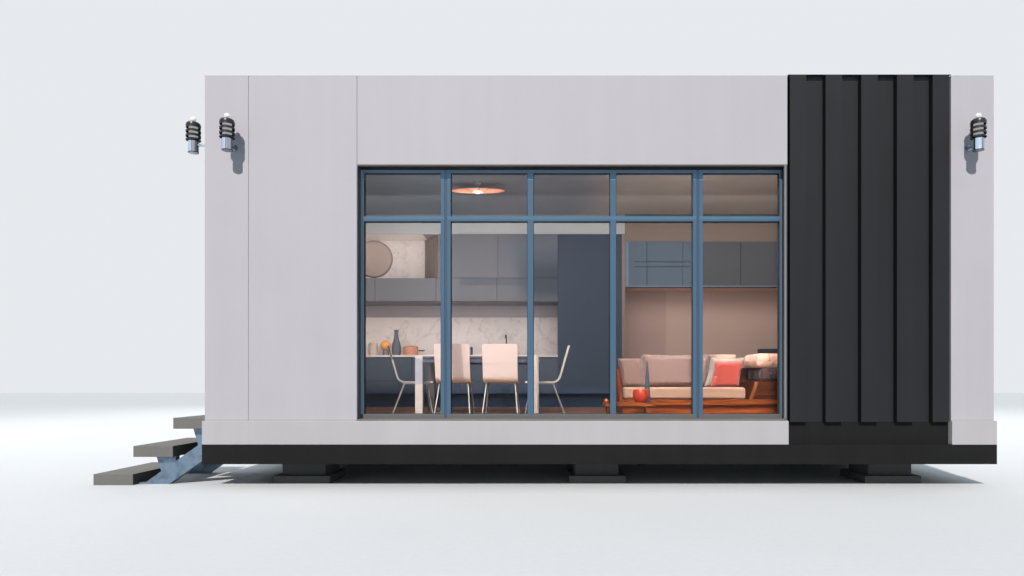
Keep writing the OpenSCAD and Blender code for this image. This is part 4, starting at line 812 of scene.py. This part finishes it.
# Keep a point inside the space of its solid, however it leans
def heldIn(box, point, room):
    low, high = box["low"], box["high"]
    point.z = min(max(point.z, low.z + room), high.z - room)
    point.y = min(max(point.y, low.y + room), high.y - room)
    left = box["foot"] + box["lean"] * (point.z - low.z) / (high.z - low.z)
    width = high.x - low.x - abs(box["lean"])
    point.x = min(max(point.x, left + room), left + width - room)
    return point


def smoothed(bm, factor):
    bmesh.ops.smooth_vert(bm, verts=bm.verts[:], factor=factor, use_axis_x=True, use_axis_y=True,
                          use_axis_z=True)


def startCover(look, box):
    bm = bmesh.new()
    bmesh.ops.create_cube(bm, size=2.0)
    bmesh.ops.subdivide_edges(bm, edges=bm.edges[:], cuts=15, use_grid_fill=True)
    flat = [k for k in range(3) if k != look["thin"]]
    for vert in bm.verts:
        spread = vert.co.copy()
        vert.co = coverPoint(look, box, spread[flat[0]], spread[flat[1]], spread[look["thin"]])
    smoothed(bm, 0.4)
    return bm


def remeshed(piece, voxel):
    grid = piece.modifiers.new("grid", "REMESH")
    grid.mode = "VOXEL"
    grid.voxel_size = voxel
    graph = bpy.context.evaluated_depsgraph_get()
    mesh = bpy.data.meshes.new_from_object(piece.evaluated_get(graph))
    piece.modifiers.clear()
    piece.data = mesh


# Fill a cover: cloth under pressure for some frames, its travel capped
def fillCover(piece, look, box):
    filling = piece.modifiers.new("filling", "CLOTH")
    cloth = filling.settings
    cloth.quality = fillLook["quality"]
    cloth.mass = fillLook["mass"]
    cloth.use_pressure = True
    cloth.uniform_pressure_force = fillLook["pressure"]
    cloth.shrink_min = fillLook["shrink"]
    cloth.tension_stiffness = fillLook["stiffness"]
    cloth.compression_stiffness = fillLook["stiffness"]
    cloth.bending_stiffness = fillLook["bending"]
    cloth.effector_weights.gravity = 0.0
    filling.collision_settings.use_self_collision = False
    for frameNumber in range(1, fillLook["frames"] + 1):
        scene.frame_set(frameNumber)
    graph = bpy.context.evaluated_depsgraph_get()
    places = [v.co.copy() for v in piece.evaluated_get(graph).data.vertices]
    piece.modifiers.clear()
    for vert, place in zip(piece.data.vertices, places):
        travel = place - vert.co
        if travel.length > look["cap"]:
            travel *= look["cap"] / travel.length
        vert.co = heldIn(box, vert.co + travel, fillLook["room"])
    scene.frame_set(1)


# Welt: a thin cord where a ray from outside meets the cover, all round at one level
def addWelt(bm, piece, look, box, level):
    places = [v.co for v in piece.data.vertices]
    surface = BVHTree.FromPolygons(places, [p.vertices for p in piece.data.polygons])
    path = []
    for i in range(weltLook["points"]):
        angle = 2 * math.pi * (i + 0.5) / weltLook["points"]
        a, b = math.cos(angle), math.sin(angle)
        reaches = [far / max(abs(a), abs(b)) for far in weltLook["reach"]]
        start, inner = (coverPoint(look, box, a * reach, b * reach, 0.0) for reach in reaches)
        lift = level * (box["high"][look["thin"]] - box["low"][look["thin"]]) / 2
        start[look["thin"]] += lift
        inner[look["thin"]] += lift
        hit = surface.ray_cast(start, (inner - start).normalized())[0]
        if hit:
            path.append(heldIn(box, hit, weltLook["radius"] + weltLook["spare"]))
    if len(path) > weltLook["points"] * weltLook["least"]:
        addTube(bm, path, weltLook["radius"], weltLook["sides"], closed=True)


def makeCovers():
    for name, look in coverLook.items():
        box = solidShapes(look["node"])[look["order"]]
        piece = finishPiece(startCover(look, box), name, look["cloth"], 180.0)
        remeshed(piece, look["voxel"])
        fillCover(piece, look, box)
        bm = bmesh.new()
        bm.from_mesh(piece.data)
        smoothed(bm, 0.5)
        bm.to_mesh(piece.data)
        bm.free()
        piece.data.shade_smooth()
        welts = bmesh.new()
        for level in look["welts"]:
            addWelt(welts, piece, look, box, level)
        finishPiece(welts, name + "_welt", look["cloth"], 180.0)
        finer = piece.modifiers.new("finer", "SUBSURF")
        finer.levels = 1
        finer.render_levels = 1
        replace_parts(piece, look["node"])
        print("filled", name, len(piece.data.polygons))


makeCovers()


# Slim rubber gaskets round every pane, on both faces of the glass
glazingLook = {"bite": 0.010, "wide": 0.0032, "thick": 0.004, "edge": 0.0008}    # the groove hides the bite


def addRing(bm, left, right, foot, head, wide, front, back, edge):
    for start, end, low, high in (
            (left, left + wide, foot, head), (right - wide, right, foot, head),
            (left + wide, right - wide, foot, foot + wide), (left + wide, right - wide, head - wide, head)):
        addBlock(bm, (start, front, low), (end, back, high), edge)


def makeGlazing(look):
    bm = bmesh.new()
    for box in solidShapes("window_glass"):
        low, high = box["low"], box["high"]
        for face, out in ((low.y, -1), (high.y, 1)):
            front, back = sorted((face, face + out * look["thick"]))
            addRing(bm, low.x + look["bite"], high.x - look["bite"], low.z + look["bite"],
                    high.z - look["bite"], look["wide"], front, back, look["edge"])
    finishPiece(bm, "window_gaskets", "rubberBlack")


makeGlazing(glazingLook)

# Kitchen: a grey strip on the marble under the shelf row, a sheet of painted shadow cast by the shelf, and
# battens on the splayed end
kitchenLook = {
    "shadowStripFoot": 1.532, "shadowStripThick": 0.003, "shadowStripEdge": 0.0006, "bead": 0.006, "beadEdge": 0.0015,
    "splayFront": (1.466, 1.938), "splayBack": (1.264, 2.273), "upperFoot": 1.913, "upperHead": 2.381,
    "battens": 7, "battenSize": (0.005, 0.004), "battenRoom": 0.02, "battenEdge": 0.001,
}


def makeKitchenTrim(look):
    low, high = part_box("kitchen_wall_panel")
    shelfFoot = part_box("kitchen_upper_units")[0].z
    foot = look["shadowStripFoot"]
    bm = bmesh.new()
    # grey sheet that stands for the shelf row's shadow on the marble: painted shadow, with a bead under it
    addBlock(bm, (low.x, low.y - look["shadowStripThick"], foot), (high.x, low.y, shelfFoot), look["shadowStripEdge"])
    addBlock(bm, (low.x, low.y - look["bead"], foot - look["bead"]), (high.x, low.y, foot), look["beadEdge"])
    finishPiece(bm, "kitchen_shadow_strip", "shadowStripGrey")
    bm = bmesh.new()
    start, end = at(*look["splayFront"], 0), at(*look["splayBack"], 0)
    along = end - start
    outward = Vector((along.y, -along.x, 0)).normalized()
    outward *= -1 if outward.x > 0 else 1
    wide, thick = look["battenSize"]
    foot, head = look["upperFoot"] + look["battenRoom"], look["upperHead"] - look["battenRoom"]
    angle = math.atan2(outward.y, outward.x) + math.pi / 2
    for i in range(look["battens"]):
        place = start + along * (i + 0.7) / (look["battens"] + 0.4) + outward * thick / 2
        place.z = (foot + head) / 2
        addTurnedBlock(bm, (wide, thick, head - foot), place, angle, look["battenEdge"])
    finishPiece(bm, "splayed_end_battens", "battenBrown")


makeKitchenTrim(kitchenLook)

# Glazed wall units: blue stile and bottom rail, thin dark bars over the first doors
glazedLook = {
    "proud": 0.005, "stile": (3.456, 3.492), "foot": 0.014, "head": 2.300, "upright": (3.683, 3.690),
    "bars": (3.549, 4.144), "barLevels": (2.086, 2.034), "barTall": 0.010,
    "railEdge": 0.0012, "barEdge": 0.001,
}


def makeGlazedBars(look):
    low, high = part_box("glazed_wall_units")
    front = low.y - look["proud"]
    bm = bmesh.new()
    left, right = (at(along, 0, 0).x for along in look["stile"])
    addBlock(bm, (left, front, low.z), (right, low.y, look["head"]), look["railEdge"])
    addBlock(bm, (right, front, low.z), (high.x, low.y, low.z + look["foot"]), look["railEdge"])
    finishPiece(bm, "glazed_unit_frame", "railBlue")
    bm = bmesh.new()
    left, right = (at(along, 0, 0).x for along in look["bars"])
    for level in look["barLevels"]:
        foot, head = level - look["barTall"] / 2, level + look["barTall"] / 2
        addBlock(bm, (left, front, foot), (right, low.y, head), look["barEdge"])
    left, right = (at(along, 0, 0).x for along in look["upright"])
    addBlock(bm, (left, front, low.z + look["foot"]), (right, low.y, look["head"]), look["barEdge"])
    finishPiece(bm, "glazed_unit_bars", "barDark")


makeGlazedBars(glazedLook)


# One shell of the shade: rings drawn in from the rim, then folded into pleats
def makeShade(look, name, lift, middle, level):
    bm = bmesh.new()
    made = bmesh.ops.create_circle(bm, segments=2 * look["pleats"], radius=1.0)["verts"]
    edges = list({e for v in made for e in v.link_edges})
    size, height = 1.0, 0.0
    for share, rise in look["rings"]:
        grown = bmesh.ops.extrude_edge_only(bm, edges=edges)["geom"]
        verts = [g for g in grown if isinstance(g, bmesh.types.BMVert)]
        edges = [g for g in grown if isinstance(g, bmesh.types.BMEdge) and all(v in verts for v in g.verts)]
        bmesh.ops.scale(bm, vec=(share / size, share / size, 1), verts=verts)
        bmesh.ops.translate(bm, vec=(0, 0, rise * lift - height), verts=verts)
        size, height = share, rise * lift
    for vert in bm.verts:
        turn = math.atan2(vert.co.y, vert.co.x) / math.pi * look["pleats"]
        vert.co.z += look["fold"] * (1 if round(turn) % 2 else -1) * vert.co.xy.length
    bmesh.ops.scale(bm, vec=(*look["half"], 1), verts=bm.verts[:])
    bmesh.ops.translate(bm, vec=(middle.x, middle.y, level), verts=bm.verts[:])
    piece = finishPiece(bm, name, "pleatGlow", 12.0)
    wall = piece.modifiers.new("wall", "SOLIDIFY")
    wall.thickness = look["wall"]
    wall.offset = 0
    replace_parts(piece, "pendant_lamp")


def makePendant(look):
    low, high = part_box("pendant_lamp")
    middle = (low + high) / 2
    level = low.z + look["over"]
    makeShade(look, "pendant_shade_lower", -look["drop"], middle, level)
    makeShade(look, "pendant_shade_upper", look["rise"], middle, level)
    bm = bmesh.new()
    made = bmesh.ops.create_uvsphere(bm, u_segments=24, v_segments=12, radius=1.0)["verts"]
    bmesh.ops.scale(bm, vec=look["bulb"], verts=made)
    bmesh.ops.translate(bm, vec=(middle.x, middle.y, level), verts=made)
    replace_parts(finishPiece(bm, "pendant_bulb", "bulbGlow", 180.0), "pendant_lamp")
    bm = bmesh.new()
    foot, head = level + look["rise"] * 0.5, high.z - look["rodSpare"]
    addTube(bm, [(middle.x, middle.y, foot), (middle.x, middle.y, head)], look["rod"], 12)
    addTurned(bm, look["cup"], Vector((middle.x, middle.y, high.z)), 24)
    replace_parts(finishPiece(bm, "pendant_rod", "ceilingPaint"), "pendant_lamp")


makePendant(pendantLook)

# Sofa: a slanted post on the front of the arm block
postLook = {"foot": 4.341, "head": 4.393, "low": 0.661, "high": 0.8115, "wide": 0.030, "thick": 0.007,
            "edge": 0.002}


def makeArmPost(look):
    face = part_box("sofa_frame")[0].y
    bm = bmesh.new()
    low, high = at(look["foot"], 0, look["low"]), at(look["head"], 0, look["high"])
    addBlock(bm, (low.x, face - look["thick"], low.z), (low.x + look["wide"], face, high.z), look["edge"])
    for vert in bm.verts:
        vert.co.x += (high.x - low.x) * (vert.co.z - low.z) / (high.z - low.z)
    finishPiece(bm, "sofa_arm_post", "postTimber")


makeArmPost(postLook)

# Wall lamps: louvred heads with deep lips, tie rods, a dark shoulder and a small white globe on top
lampLook = {                  # outlines are radius and height over the foot of the tube
    "collar": ((0.0385, 0.1120), (0.0470, 0.1080), (0.0540, 0.1020), (0.0540, 0.0950), (0.0515, 0.0950),
               (0.0515, 0.1005), (0.0465, 0.1045), (0.0385, 0.1075)),
    "rings": (0.122, 0.157),
    "ring": ((0.0335, 0.0235), (0.0455, 0.0215), (0.0540, 0.0145), (0.0540, 0.0), (0.0515, 0.0),
             (0.0515, 0.0130), (0.0445, 0.0190), (0.0335, 0.0210)),
    "shoulder": ((0.0525, 0.1920), (0.0530, 0.2120), (0.0500, 0.2260), (0.0400, 0.2350), (0.0260, 0.2395),
                 (0.0140, 0.2410), (0.0140, 0.2385), (0.0255, 0.2370), (0.0385, 0.2325), (0.0475, 0.2240),
                 (0.0505, 0.2115), (0.0500, 0.1920)),
    "groove": ((0.0535, 0.2060), (0.0545, 0.2070), (0.0545, 0.2105), (0.0535, 0.2115)),
    "rods": (0.0440, 0.0040, 12, (4, 176, 62, 118)),       # radius, half width, sides, angles
    "rodReach": (0.104, 0.226),
    "shield": (0.051, 0.003, 96.0, 0.100, 0.215),          # radius, thickness, degrees across, foot, head
    "bands": (0.0005, 0.0880),                             # heights of the tube's two bands
    "band": ((0.0374, 0.0), (0.0392, 0.0006), (0.0392, 0.0026), (0.0374, 0.0032)),
    "core": ((0.0, 0.116), (0.0330, 0.116), (0.0330, 0.232), (0.0125, 0.2375), (0.0125, 0.2400)),
    "globe": (0.0215, 0.2600, 12),                         # radius, centre, points
}


# Outline of a ring at a level, closed where it has a section of its own
def raised(outline, level=0.0, closed=True):
    moved = [(radius, height + level) for radius, height in outline]
    return moved + moved[:1] if closed else moved


# Curved plate on the wall side of a lamp head
def addShield(bm, shield, base):
    radius, thick, wide, low, high = shield
    before = set(bm.verts)
    corners = [bm.verts.new((away, 0, height)) for away, height in (
        (radius, low), (radius - thick, low), (radius - thick, high), (radius, high))]
    face = bm.faces.new(corners)
    opening = Matrix.Rotation(math.radians(90 - wide / 2), 3, "Z")
    bmesh.ops.rotate(bm, cent=(0, 0, 0), matrix=opening, verts=corners)
    bmesh.ops.spin(bm, geom=[face], cent=(0, 0, 0), axis=(0, 0, 1), angle=math.radians(wide), steps=20)
    if not face.is_valid:
        bm.faces.new(corners)
    bmesh.ops.translate(bm, vec=base, verts=[v for v in bm.verts if v not in before])


def makeLampHeads(look):
    bases = [at(*place) for place in lampPlaces]
    bm = bmesh.new()
    for base in bases:
        for name in ("collar", "shoulder", "groove"):
            addTurned(bm, raised(look[name]), base, 48)
        for level in look["rings"]:
            addTurned(bm, raised(look["ring"], level), base, 48)
        away, half, sides, angles = look["rods"]
        for angle in angles:
            spread = math.radians(angle)
            rod = base + Vector((away * math.cos(spread), away * math.sin(spread), 0))
            addTube(bm, [rod + Vector((0, 0, height)) for height in look["rodReach"]], half, sides)
        addShield(bm, look["shield"], base)
    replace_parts(finishPiece(bm, "lamp_heads", "louvreBlack"), "lamp_louvres")
    bm = bmesh.new()
    for base in bases:
        for level in look["bands"]:
            addTurned(bm, raised(look["band"], level, closed=False), base, 48)
    finishPiece(bm, "lamp_tube_bands", "louvreBlack")
    bm = bmesh.new()
    radius, centre, points = look["globe"]
    reach = math.pi - math.asin(look["core"][-1][0] / radius)
    globe = []
    for i in range(points + 1):
        angle = reach - reach * i / points
        globe.append((max(radius * math.sin(angle), 0.0), centre + radius * math.cos(angle)))
    for base in bases:
        addTurned(bm, list(look["core"]) + globe, base, 32)
    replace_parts(finishPiece(bm, "lamp_globes", "opal"), "lamp_glasses")


makeLampHeads(lampLook)
print("kitchen, pendant and lamps detailed")


# Joint strips: a pale sealing strip behind every open joint between two facing boards
sealLook = {
    "behind": 0.0035, "thick": 0.006, "spare": 0.0001,
    "least": 0.001, "most": 0.012,      # width of a joint
    "overlap": 0.02, "depth": 0.015,    # of its two boards at the least
}
boardFaces = {       # axis through the boards, and the side that they face
    "front_panels": (1, -1), "white_plinth": (1, -1), "rear_panels": (1, 1),
    "left_end_panels": (0, -1), "right_end_panels": (0, 1),
}


def addSeal(bm, look, first, second, axis, deep, out):
    other = 3 - deep - axis
    gap = second["low"][axis] - first["high"][axis]
    foot = max(first["low"][other], second["low"][other])
    head = min(first["high"][other], second["high"][other])
    depth = min(first["high"][deep], second["high"][deep]) - max(first["low"][deep], second["low"][deep])
    if gap < look["least"] or gap > look["most"] or head - foot < look["overlap"] or depth < look["depth"]:
        return
    low, high = Vector((0, 0, 0)), Vector((0, 0, 0))
    low[axis], high[axis] = first["high"][axis] + look["spare"], second["low"][axis] - look["spare"]
    low[other], high[other] = foot, head
    face = (first["low"][deep] if out < 0 else first["high"][deep]) - out * look["behind"]
    low[deep], high[deep] = sorted((face, face - out * look["thick"]))
    addBlock(bm, low, high)


def makeSeals(look):
    bm = bmesh.new()
    for name, (deep, out) in boardFaces.items():
        boxes = solidShapes(name)
        for first in boxes:
            for second in boxes:
                for axis in (k for k in range(3) if k != deep):
                    addSeal(bm, look, first, second, axis, deep, out)
    finishPiece(bm, "panel_joint_seals", "sealGrey")


makeSeals(sealLook)
print("window and joints fitted")


# Studio: a pale floor and world for the eye, a soft key from the upper left, soft lamps in the room
studio = {
    "floorHalf": 40.0,
    "floorBounce": paint(0.27, 0.29, 0.31),    # floor colour for all but the eye
    "worldSeen": paint(0.80, 0.82, 0.85),
    "worldLight": paint(0.56, 0.82, 1.0),
    "worldStrength": 0.34,
    "keyHeading": (0.023, 0.120, -0.107),
    "keyStrength": 3.38,
    "keyColour": (1.0, 0.94, 0.90),
    "keySoftness": 1.6,        # degrees across
    "fillAim": (3.03, 1.2, 1.6),
    "fillPanels": (            # power, place and size of the soft panels at the rear and the ends
        (900.0, (3.0, 15.0, 8.0), (18.0, 8.0)),
        (330.0, (-10.0, 2.4, 6.0), (8.0, 6.0)),
        (330.0, (16.0, 2.4, 6.0), (8.0, 6.0))),
    "roomColour": (1.0, 0.88, 0.80),
    "roomLamps": (             # power, place, size, and tilt from straight down
        (13.0, (1.45, 0.24, 1.85), (1.7, 1.2), 84.0),
        (10.0, (2.85, 0.24, 1.85), (1.7, 1.2), 84.0),
        (14.0, (4.15, 0.24, 1.85), (1.7, 1.2), 84.0),
        (14.0, (1.20, 0.95, 2.36), (1.6, 0.5), 42.0),
        (9.0, (2.80, 0.95, 2.36), (1.4, 0.5), 42.0),
        (14.5, (4.60, 0.95, 2.36), (1.9, 0.5), 42.0),
        (9.0, (1.45, 1.20, 1.42), (2.5, 0.4), 90.0)),
}


# One where the eye looks, straight, by a mirror or through glass
def seenByEye(tree):
    paths = tree.nodes.new("ShaderNodeLightPath").outputs
    seen = sums(tree, "MAXIMUM", paths["Is Camera Ray"], paths["Is Glossy Ray"])
    return sums(tree, "MAXIMUM", seen, paths["Is Transmission Ray"])


def makeStudio(look):
    world = bpy.data.worlds.new("studio")
    world.use_nodes = True
    scene.world = world
    tree = world.node_tree
    seen = seenByEye(tree)
    back = tree.nodes["Background"]
    tree.links.new(mixed(tree, seen, look["worldLight"], look["worldSeen"]), back.inputs[0])
    tree.links.new(span(tree, seen, 0.0, 1.0, look["worldStrength"], 1.0), back.inputs[1])
    key = bpy.data.lights.new("key", "SUN")
    key.energy = look["keyStrength"]
    key.color = look["keyColour"]
    key.angle = math.radians(look["keySoftness"])
    lamp = bpy.data.objects.new("key", key)
    lamp.rotation_mode = "QUATERNION"
    lamp.rotation_quaternion = Vector(look["keyHeading"]).to_track_quat("-Z", "Y")
    scene.collection.objects.link(lamp)
    bm = bmesh.new()
    bmesh.ops.create_grid(bm, x_segments=1, y_segments=1, size=look["floorHalf"])
    mesh = bpy.data.meshes.new("floor")
    bm.to_mesh(mesh)
    bm.free()
    ground = bpy.data.objects.new("floor", mesh)
    scene.collection.objects.link(ground)
    tree = finishes["studioFloor"].node_tree
    base = groupIn(tree).inputs["Base"]
    tree.links.new(mixed(tree, seenByEye(tree), look["floorBounce"], fedTo(base)), base)
    mesh.materials.append(finishes["studioFloor"])


# Soft panel that only shows by what it lights
def addPanel(name, power, place, size):
    data = bpy.data.lights.new(name, "AREA")
    data.shape = "RECTANGLE"
    data.size, data.size_y = size
    data.energy = power
    lamp = bpy.data.objects.new(name, data)
    lamp.location = at(*place)
    lamp.visible_camera = False
    lamp.visible_glossy = False
    lamp.visible_transmission = False
    scene.collection.objects.link(lamp)
    return lamp


# Weak panels that face the rear and the two ends
def fillSides(look):
    for power, place, size in look["fillPanels"]:
        lamp = addPanel("fillPanel", power, place, size)
        lamp.rotation_mode = "QUATERNION"
        lamp.rotation_quaternion = (at(*look["fillAim"]) - lamp.location).to_track_quat("-Z", "Y")


# Lamps in the room: some close behind the window, some under the ceiling, turned to the rear
def lightRoom(look):
    for power, place, size, tilt in look["roomLamps"]:
        lamp = addPanel("roomLight", power, place, size)
        lamp.data.color = look["roomColour"]
        lamp.rotation_euler = (math.radians(tilt), 0, 0)


makeStudio(studio)
fillSides(studio)
lightRoom(studio)
print("studio lit")
